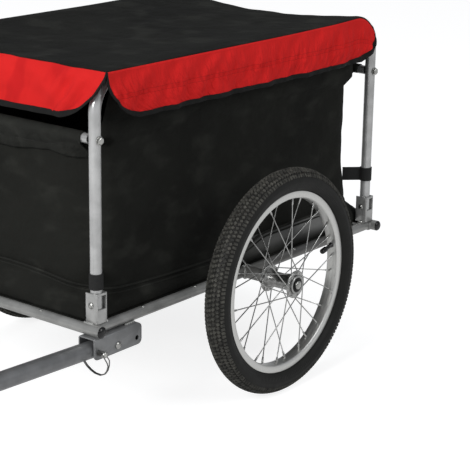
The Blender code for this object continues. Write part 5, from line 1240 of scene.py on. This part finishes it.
FLAP_SHARES = [i / 22 for i in range(20)] + [0.90, 0.92, 0.94, 0.955, 0.97, 0.98, 0.99, 1.0]
BINDING_WALK = 9
for name, point_at, key, facing, length, hem in (
    ("left", side_flap_point, 1, (1, 0, 0), 0.730, 0.0068),
    ("right", side_flap_point, -1, (-1, 0, 0), 0.730, 0.0068),
    ("front", end_flap_point, -1, (0, -1, 0), 0.468, 0.0085),
    ("rear", end_flap_point, 1, (0, 1, 0), 0.468, 0.0085),
):
    count = int(length / 0.0035)
    rows, places = [], []
    for share in FLAP_SHARES:
        rows.append([point_at(j / count, share, key) for j in range(count + 1)])
        places.append([(length * j / count, FLAP_DEPTH * share) for j in range(count + 1)])
    cloth_grid(rows, places)
    thicken(COVER_CLOTH, 0.0, facing)
    finish = GATHERED_CLOTH if name in ("left", "right") else RED_CLOTH
    sewn(f"cover_{name}_flap", finish, "cover", body="cover", slot="red_cloth")
    outline = [(0.0, share) for share in FLAP_SHARES[:-1]]
    outline += [(j / count, 1.0) for j in range(count + 1)]
    outline += [(1.0, share) for share in reversed(FLAP_SHARES[:-1])]
    edge = [point_at(along, share, key) for along, share in outline]
    section_rows, spots = [], []
    run = 0.0
    for k, (along, share) in enumerate(outline):
        tangent = (edge[min(k + 1, len(edge) - 1)] - edge[max(k - 1, 0)]).normalized()
        by_along, by_share = slopes(point_at, along, share, key)
        normal = by_along.cross(by_share).normalized()
        if normal.dot(Vector(facing)) < 0:
            normal = -normal
        inwards = normal.cross(tangent)
        middle = point_at(0.5, 0.4, key)
        if inwards.dot(middle - edge[k]) < 0:
            inwards = -inwards
        bottom = along not in (0.0, 1.0)
        depth = 0.0012 + 0.0013 * smooth(share / 0.35) + (hem - 0.0025) * smooth((share - 0.72) / 0.28)
        if along == 1.0 and name in ("left", "right"):
            depth = 0.0015 + 0.0085 * smooth(share / 0.50)
        elif bottom and name in ("left", "right"):
            depth = hem + (0.0100 - hem) * smooth((along - 0.92) / 0.08)
        elif bottom:
            depth = hem
        elif name == "rear":
            depth = hem + 0.0105 * (1.0 - share)
        face = [edge[k]]
        here = (along, share)
        for step in range(BINDING_WALK):
            here = moved_over(point_at, *here, key, inwards * depth / BINDING_WALK)
            if step % 3 == 2:
                face.insert(0, point_at(*here, key))
        ring = [point + normal * 0.0014 for point in face]
        ring += [edge[k] - inwards * 0.0010 + normal * 0.0009, edge[k] - inwards * 0.0014]
        ring += [edge[k] - inwards * 0.0010 - normal * 0.0009]
        ring += [point - normal * 0.0013 for point in reversed(face)]
        section_rows.append(ring)
        if k:
            run += (edge[k] - edge[k - 1]).length
        spots.append([(run, 0.003 * j) for j in range(len(ring))])
    cloth_grid(section_rows, spots, closed=True, ends=True)
    finish_piece(f"cover_{name}_binding", "cover", "black_cloth", BINDING, angle=60.0)

# Tow channel, tow bar and lock pin
# A folded steel channel under the front left corner holds the 28 mm tow bar on a domed bolt. A
# pin with a wire bail locks the bar, and a spare hole behind takes the pin when the bar is folded.
WIRE = Finish("dull_spring_wire", (0.13, 0.13, 0.125), 0.35, Metallic=1.0)
WIRE.tint((0.08, 0.08, 0.08), (0.20, 0.20, 0.19), WIRE.noise(120.0, 3.0))
WIRE.dull(300.0, 2.0, 0.25, 0.25)
CHANNEL_PAINT = painted_steel("grey_channel_paint_coat", (0.215, 0.218, 0.220), 0.5, 0.42)
TOW_PAINT = painted_steel("grey_tow_bar_paint_coat", (0.178, 0.181, 0.184), 0.5, 0.36)
softened_copy("tow_channel")
finish_piece("tow_channel_folded", "trailer", "frame_paint", CHANNEL_PAINT, "tow_channel", soften=0.0004)
beads = []
for i in range(17):
    beads.append((RAIL_X + 0.0072, AXLE_Y - 0.318 + 0.022 * i / 16, AXLE_Z - TUBE_R + 0.0006))
swept(beads, 0.0021, 8, False, lambda i: 0.85 + 0.15 * math.sin(i * 1.9))
finish_piece("tow_channel_bead", "trailer", "frame_paint", BRIGHT_WELD)
PIVOT_Y = 0.343
PIVOT = Vector((0.2065, AXLE_Y - PIVOT_Y, 0.1635))
TOW_TILT = math.radians(2.0)
TOW_BEND_Y = 0.620
TOW_BAR_R = 0.014
TOW_BEND_R = 0.070
BAR_RIM = 0.0015
BAR_SINK = 0.012
BOLT_SEAT_X = 0.0170
# Painted shade: a dark tube is put into the spare hole to stand for the shade inside it.
shade_lining = [(0.0062, 0.0), (0.0062, 0.0280), (0.0046, 0.0280), (0.0046, 0.0)]
spun(shade_lining, (0.1925, AXLE_Y - 0.2985, PIVOT.z), (1, 0, 0), 24)
finish_piece("spare_hole_shade_lining", "trailer", "dark_steel", WIRE)
forwards = Vector((0.0, -math.cos(TOW_TILT), math.sin(TOW_TILT)))


def rounded_path(corners, radius, steps=14):
    """The corners of a path with an arc in place of each inner one."""
    path = [Vector(corners[0])]
    for before, corner, after in zip(corners, corners[1:], corners[2:]):
        back = (Vector(before) - Vector(corner)).normalized()
        on = (Vector(after) - Vector(corner)).normalized()
        half = back.angle(on) / 2
        reach = radius / math.tan(half)
        middle = Vector(corner) + (back + on).normalized() * radius / math.sin(half)
        first = Vector(corner) + back * reach - middle
        last = Vector(corner) + on * reach - middle
        sweep = first.angle(last)
        for i in range(steps + 1):
            share = i / steps
            from_middle = math.sin((1 - share) * sweep) * first + math.sin(share * sweep) * last
            path.append(middle + from_middle / math.sin(sweep))
    return path + [Vector(corners[-1])]


bar_end = Vector((0.105, AXLE_Y - 0.885, 0.270))
first_bend = PIVOT + forwards * (TOW_BEND_Y - PIVOT_Y) / math.cos(TOW_TILT)
second_bend = bar_end + Vector((0.0, 0.080, 0.0))
bar_path = rounded_path([PIVOT - forwards * TOW_BAR_R, first_bend, second_bend, bar_end], TOW_BEND_R)
bar = swept(bar_path, TOW_BAR_R, 40)
# The bar's two end faces are the only ones with more than four corners. They are sunk into the bar,
# so that it looks like an open tube.
pick(bar.data.polygons, lambda face: len(face.vertices) > 4)
bpy.ops.mesh.inset(thickness=BAR_RIM)
bpy.ops.mesh.extrude_region_shrink_fatten(TRANSFORM_OT_shrink_fatten={"value": -BAR_SINK})
shut()
finish_piece("tow_bar_tube", "tow_bar", "tow_paint", TOW_PAINT, "tow_bar", angle=50.0)
pivot_bolt = [(0.0, 0.0034), (0.0026, 0.0032), (0.0046, 0.0025), (0.0060, 0.0012), (0.0062, 0.0002)]
pivot_bolt += [(0.0040, 0.0002), (0.0040, -BOLT_SEAT_X), (0.0, -BOLT_SEAT_X)]
bolt_ends = []
for way in (1, -1):
    bolt_ends.append(spun(pivot_bolt, PIVOT + Vector((way * BOLT_SEAT_X, 0, 0)), (way, 0, 0), 28))
joined(*bolt_ends)
finish_piece("tow_bar_pivot_bolt_domed", "trailer", "zinc", ZINC, "tow_bar_pivot_bolt")
softened_copy("lock_pin", dissolve=False)
finish_piece("lock_pin_turned", "lock_pin", "zinc", ZINC, "lock_pin", angle=40.0)
softened_copy("lock_pin_bail", dissolve=False)
finish_piece("lock_pin_wire_bail", "bail", "zinc", WIRE, "lock_pin_bail", angle=180.0)

# Hitch
# A fork in the tow bar's end, a turned knuckle, and a folded bracket that the bicycle's axle
# clamps, with a pull-out pin. All are zinc-plated steel but the knuckle, which is blackened.
DARK_STEEL = painted_steel("blackened_steel_coat", (0.050, 0.050, 0.050), 0.8, 0.42)
for node, body, slot, finish in (
    ("tow_bar_fork", "tow_bar", "zinc", ZINC),
    ("hitch_pivot_bolt", "tow_bar", "zinc", ZINC),
    ("hitch_knuckle", "hitch_knuckle", "dark_steel", DARK_STEEL),
    ("hitch_bracket", "hitch_bracket", "zinc", ZINC),
    ("hitch_pin", "hitch_pin", "zinc", ZINC),
):
    softened_copy(node)
    finish_piece(f"{node}_finished", body, slot, finish, node, angle=40.0, soften=0.0004)

# Wheels
# 16-inch wheels with 28 spokes crossed twice, a polished hub with high flanges, a satin aluminium
# rim and a knobbly tyre. A quick-release axle with a push button holds each one.
WHEEL_X = 0.290
SPOKES_A_SIDE = 14
SPOKE_PITCH = 2 * math.pi / SPOKES_A_SIDE
SPOKE_CIRCLE = 0.0205
NIPPLE_CIRCLE = 0.1462
NIPPLE_X = 0.003
SPOKE_ASIDE = 0.0021
HEAD_ASIDE = 0.0014
CASING_MIDDLE_R = 0.1755
CASING_RISE = 0.0199
CASING_HALF = 0.0208
BLOCK_RISE = 0.0220
BLOCK_ASIDE = 0.0224
BLOCK_HEIGHT = 0.0024
BLOCK_TAPER = 0.80
VALVE_ANGLE = math.radians(12.5)
HUB_ENDS = (("outer", 1, 0.0280, 0.0262), ("inner", -1, 0.0365, 0.0290))


def from_axle(finish):
    """How far a place is behind the axle, above it and out from it."""
    behind = finish.along(1) - AXLE_Y
    above = finish.along(2) - AXLE_Z
    return behind, above, (behind * behind + above * above) ** 0.5


RUBBER = Finish("worn_tyre_rubber", (0.012, 0.012, 0.011), 0.6, Specular_IOR_Level=0.2)
behind, above, out_from_axle = from_axle(RUBBER)
dust = RUBBER.noise(30.0, 4.0).between(0.35, 0.7) * out_from_axle.between(0.186, 0.195)
RUBBER.tint((0.011, 0.011, 0.010), (0.022, 0.021, 0.018), dust)
RUBBER.dull(80.0, 3.0, 0.2, 0.50)
fine_grain = RUBBER.bump(RUBBER.noise(600.0, 2.0), 0.0003, 0.5)
turn_round = RUBBER.node("ShaderNodeMath", {"operation": "ARCTAN2"}, {0: above, 1: behind})
side_ribs = (turn_round * 240.0).wave() * (1.0 - out_from_axle.between(0.170, 0.173))
RUBBER.set(Normal=RUBBER.bump(side_ribs * out_from_axle.between(0.1655, 0.1665), 0.0004, 0.5, fine_grain))

TREAD = Finish("dusty_tread_rubber", (0.05, 0.049, 0.043), 0.8, Specular_IOR_Level=0.3)
TREAD.tint((0.018, 0.018, 0.016), (0.072, 0.070, 0.060), TREAD.noise(110.0, 5.0).between(0.3, 0.7))
TREAD.dull(80.0, 3.0, 0.15, 0.70)
TREAD.grain(700.0, 2.0, 0.0003, 0.5)

ALUMINIUM = Finish("satin_rim_aluminium", (0.36, 0.36, 0.355), 0.34, Metallic=0.85)
rings = {"W": from_axle(ALUMINIUM)[2] * 2600.0, "Detail": 2.0}
turning = ALUMINIUM.node("ShaderNodeTexNoise", {"noise_dimensions": "1D"}, rings)
ALUMINIUM.tint((0.52, 0.52, 0.50), (0.68, 0.68, 0.66), turning.between(0.3, 0.7))
ALUMINIUM.set(Roughness=0.28 + turning * 0.16)
ALUMINIUM.set(Normal=ALUMINIUM.bump(turning, 0.00005, 0.5))

HUB_METAL = Finish("polished_hub_aluminium", (0.34, 0.34, 0.33), 0.26, Metallic=0.95)
cast = HUB_METAL.noise(120.0, 4.0)
HUB_METAL.tint((0.20, 0.20, 0.195), (0.42, 0.42, 0.41), cast.between(0.3, 0.7))
HUB_METAL.set(Roughness=0.2 + cast * 0.22)
HUB_METAL.set(Normal=HUB_METAL.bump(cast, 0.0002, 0.35))

AXLE_METAL = Finish("quick_release_steel", (0.30, 0.30, 0.29), 0.3, Metallic=0.9)
past_seal = from_axle(AXLE_METAL)[2].between(0.0126, 0.0130)
AXLE_METAL.tint((0.012, 0.012, 0.012), (0.36, 0.36, 0.35), past_seal)
AXLE_METAL.dull(200.0, 2.0, 0.2, 0.25)

SPOKE_STEEL = Finish("drawn_spoke_steel", (0.40, 0.40, 0.39), 0.26, Metallic=1.0)
SPOKE_STEEL.dull(400.0, 2.0, 0.2, 0.16)
SPOKE_STEEL.tint((0.30, 0.30, 0.29), (0.50, 0.50, 0.49), SPOKE_STEEL.noise(50.0, 2.0))


def tread_row(angle, count, size, twist, phase, centre_x):
    """One row of tread blocks: one block is shaped, then copied round the axle."""
    in_hand()
    bpy.ops.mesh.primitive_cube_add(size=1.0, location=(0, 0, 0))
    obj = bpy.context.object
    across, along = size
    for vertex in obj.data.vertices:
        top = vertex.co.z > 0
        shrink = BLOCK_TAPER if top else 1.0
        height = 0.0 if top else -BLOCK_HEIGHT
        vertex.co = (vertex.co.x * across * shrink, vertex.co.y * along * shrink, height)
    lean = Matrix.Rotation(math.pi / 2 - angle, 4, "Y")
    reach_x = BLOCK_ASIDE * math.cos(angle)
    reach_r = CASING_MIDDLE_R + BLOCK_RISE * math.sin(angle)
    spot = Matrix.Translation((reach_x, 0.0, reach_r)) @ lean @ Matrix.Rotation(twist, 4, "Z")
    obj.data.transform(Matrix.Translation((centre_x, AXLE_Y, AXLE_Z)) @ Matrix.Rotation(phase, 4, "X") @ spot)
    opened()
    bpy.ops.mesh.spin(
        steps=count - 1,
        angle=2 * math.pi * (count - 1) / count,
        center=(centre_x, AXLE_Y, AXLE_Z),
        axis=(1, 0, 0),
        dupli=True,
    )
    shut()
    return obj


def both_halves(half):
    """A section that is the same on both sides of the wheel's middle."""
    return half + [(radius, -x) for radius, x in reversed(half[:-1])]


casing = [(0.1535, 0.0105), (0.1592, 0.0107)]
for step in range(25):
    angle = math.radians(-46.0 + 136.0 * step / 24)
    grow = 0.0004 * (math.sin(step * 2.6) if step < 9 else 0.0)
    radius = CASING_MIDDLE_R + (CASING_RISE + grow) * math.sin(angle)
    casing.append((radius, (CASING_HALF + grow) * math.cos(angle)))
inside = [(0.1535, -0.0080), (0.1600, -0.0080), (0.1735, -0.0190), (0.1880, -0.0130), (0.1922, 0.0)]
TYRE_SECTION = both_halves(casing) + both_halves(inside)
rim = [
    (0.1588, 0.0109), (0.1590, 0.0115), (0.1588, 0.0123), (0.1580, 0.0125), (0.1512, 0.0125),
    (0.1506, 0.0123), (0.1480, 0.0116), (0.1466, 0.0100), (0.1459, 0.0070), (0.1456, 0.0035),
    (0.1455, 0.0),
]
well = [(0.1576, 0.0109), (0.1525, 0.0110), (0.1482, 0.0045)]
RIM_SECTION = both_halves(rim) + [(radius, -x) for radius, x in well] + well[::-1]
VALVE_STEM = [
    (0.0, 0.1520), (0.0032, 0.1520), (0.0032, 0.1466), (0.0050, 0.1458), (0.0046, 0.1440),
    (0.0033, 0.1420), (0.0033, 0.1292), (0.0044, 0.1290), (0.0048, 0.1280), (0.0048, 0.1182),
    (0.0040, 0.1162), (0.0024, 0.1155), (0.0, 0.1155),
]
HUB_SECTION = []
for where, way, width, flange in HUB_ENDS:
    hub_end = [
        (0.0143, width - 0.0004), (0.0149, width), (0.0164, width), (0.0170, width - 0.0006),
        (0.0170, flange + 0.0017), (0.0232, flange + 0.0015), (0.0240, flange + 0.0008),
        (0.0240, flange - 0.0008), (0.0232, flange - 0.0015), (0.0172, flange - 0.0017),
        (0.0160, flange - 0.0040), (0.0135, flange - 0.0090),
    ]
    HUB_SECTION += [(radius, way * x) for radius, x in hub_end][::way]
HUB_SECTION += [(0.0143, -0.0281), (0.0090, -0.0281), (0.0090, 0.0196), (0.0143, 0.0196)]
SPOKE_HEAD = [(0.0, 0.0014), (0.0012, 0.0011), (0.0019, 0.0002), (0.0019, -0.0004), (0.0, -0.0004)]
BEARING = [
    (0.0139, 0.0038), (0.0135, 0.0040), (0.0108, 0.0040), (0.0104, 0.0034), (0.0096, 0.0034),
    (0.0092, 0.0040), (0.0063, 0.0040), (0.0063, -0.0040), (0.0139, -0.0040),
]
AXLE = [
    (0.0078, 0.3190), (0.0078, 0.3212), (0.0084, 0.3217), (0.0100, 0.3215), (0.0106, 0.3208),
    (0.0132, 0.3208), (0.0138, 0.3216), (0.0150, 0.3216), (0.0160, 0.3206), (0.0160, 0.3188),
    (0.0154, 0.3185), (0.0060, 0.3185), (0.0060, 0.2215), (0.0040, 0.2195), (0.0, 0.2195), (0.0, 0.3190),
]
BUTTON = [(0.0, 0.3260)]
for step in range(1, 9):
    angle = math.radians(90.0 * step / 8)
    BUTTON.append((0.0075 * math.sin(angle), 0.3230 + 0.0030 * math.cos(angle)))
BUTTON += [(0.0075, 0.3218), (0.0070, 0.3216), (0.0, 0.3216)]
TREAD_ROWS = (
    (33.0, 170, (0.0070, 0.0050), 0.15, 0.0),
    (55.0, 170, (0.0056, 0.0052), 0.55, 0.5),
    (75.0, 150, (0.0058, 0.0058), -0.55, 0.0),
)


def laced_side(centre, side_x, offset, phase):
    """The spokes of one flange, every second one leading, each with its nipple and its head."""
    spokes = []
    for k in range(SPOKES_A_SIDE):
        lead = 1 if k % 2 else -1
        at_hub = phase + k * SPOKE_PITCH
        at_rim = at_hub - 2 * lead * SPOKE_PITCH
        level, rise = SPOKE_CIRCLE * math.cos(at_hub), SPOKE_CIRCLE * math.sin(at_hub)
        start = Vector((side_x * (offset + lead * SPOKE_ASIDE), level, rise))
        level, rise = NIPPLE_CIRCLE * math.cos(at_rim), NIPPLE_CIRCLE * math.sin(at_rim)
        stop = Vector((side_x * NIPPLE_X, level, rise))
        length = (stop - start).length
        spoke = [
            (0.0, -0.0016), (0.0010, -0.0010), (0.0010, length - 0.0125), (0.0017, length - 0.0118),
            (0.0020, length - 0.0040), (0.0020, length), (0.0, length),
        ]
        spokes.append(spun(spoke, centre + start, stop - start, 8))
        seat = Vector((side_x * (offset - lead * HEAD_ASIDE), start.y, start.z))
        spokes.append(spun(SPOKE_HEAD, centre + seat, (-lead * side_x, 0, 0), 10))
    return spokes


for side, out in SIDES:
    body = f"{side}_wheel"
    centre = Vector((out * WHEEL_X, AXLE_Y, AXLE_Z))
    axle_middle = (0.0, AXLE_Y, AXLE_Z)
    spun(TYRE_SECTION, centre, (1, 0, 0), 120)
    finish_piece(f"{side}_tyre_casing", body, "tyre", RUBBER, f"{side}_tyre", angle=50.0)
    tread = []
    for way in (1, -1):
        for angle, count, size, twist, shift in TREAD_ROWS:
            lean = math.radians(angle if way > 0 else 180.0 - angle)
            phase = 2 * math.pi / count * (shift + 0.25 * way)
            tread.append(tread_row(lean, count, size, twist * way, phase, centre.x))
    tread.append(tread_row(math.pi / 2, 150, (0.0046, 0.0048), 0.785, math.pi / 150, centre.x))
    joined(*tread)
    finish_piece(f"{side}_tyre_tread", body, "tyre", TREAD, f"{side}_tyre", angle=30.0)
    spun(RIM_SECTION, centre, (1, 0, 0), 120)
    finish_piece(f"{side}_rim_rolled", body, "aluminium", ALUMINIUM, f"{side}_rim", angle=28.0)
    spun(VALVE_STEM, centre, (0.0, math.cos(VALVE_ANGLE), math.sin(VALVE_ANGLE)), 24)
    finish_piece(f"{side}_valve_capped", body, "black_plastic", PLASTIC, f"{side}_valve", angle=40.0)

    hub = spun(HUB_SECTION, centre, (out, 0, 0), 56)
    spokes = []
    first_spoke = VALVE_ANGLE - SPOKE_PITCH / 4
    for where, way, width, flange in HUB_ENDS:
        phase = first_spoke if way > 0 else first_spoke + SPOKE_PITCH / 2
        spokes += laced_side(centre, way * out, flange, phase)
    joined(*spokes)
    finish_piece(f"{side}_laced_spokes", body, "aluminium", SPOKE_STEEL, f"{side}_spoked_hub", angle=50.0)
    in_hand(hub)
    finish_piece(f"{side}_hub_shell", body, "aluminium", HUB_METAL, f"{side}_spoked_hub", angle=30.0)
    for where, way, width, flange in HUB_ENDS:
        spun(BEARING, centre + Vector((way * out * (width - 0.0040), 0, 0)), (way * out, 0, 0), 48)
        bearing = (f"{side}_{where}_bearing_ring", body, "dark_steel", DARK_STEEL, f"{side}_{where}_bearing")
        finish_piece(*bearing, angle=30.0)
    spun(AXLE, axle_middle, (out, 0, 0), 48)
    finish_piece(f"{side}_axle_turned", f"{side}_axle", "dark_steel", AXLE_METAL, f"{side}_axle", angle=30.0)
    spun(BUTTON, axle_middle, (out, 0, 0), 40)
    finish_piece(f"{side}_button_domed", f"{side}_button", "zinc", ZINC, f"{side}_release_button", angle=60.0)
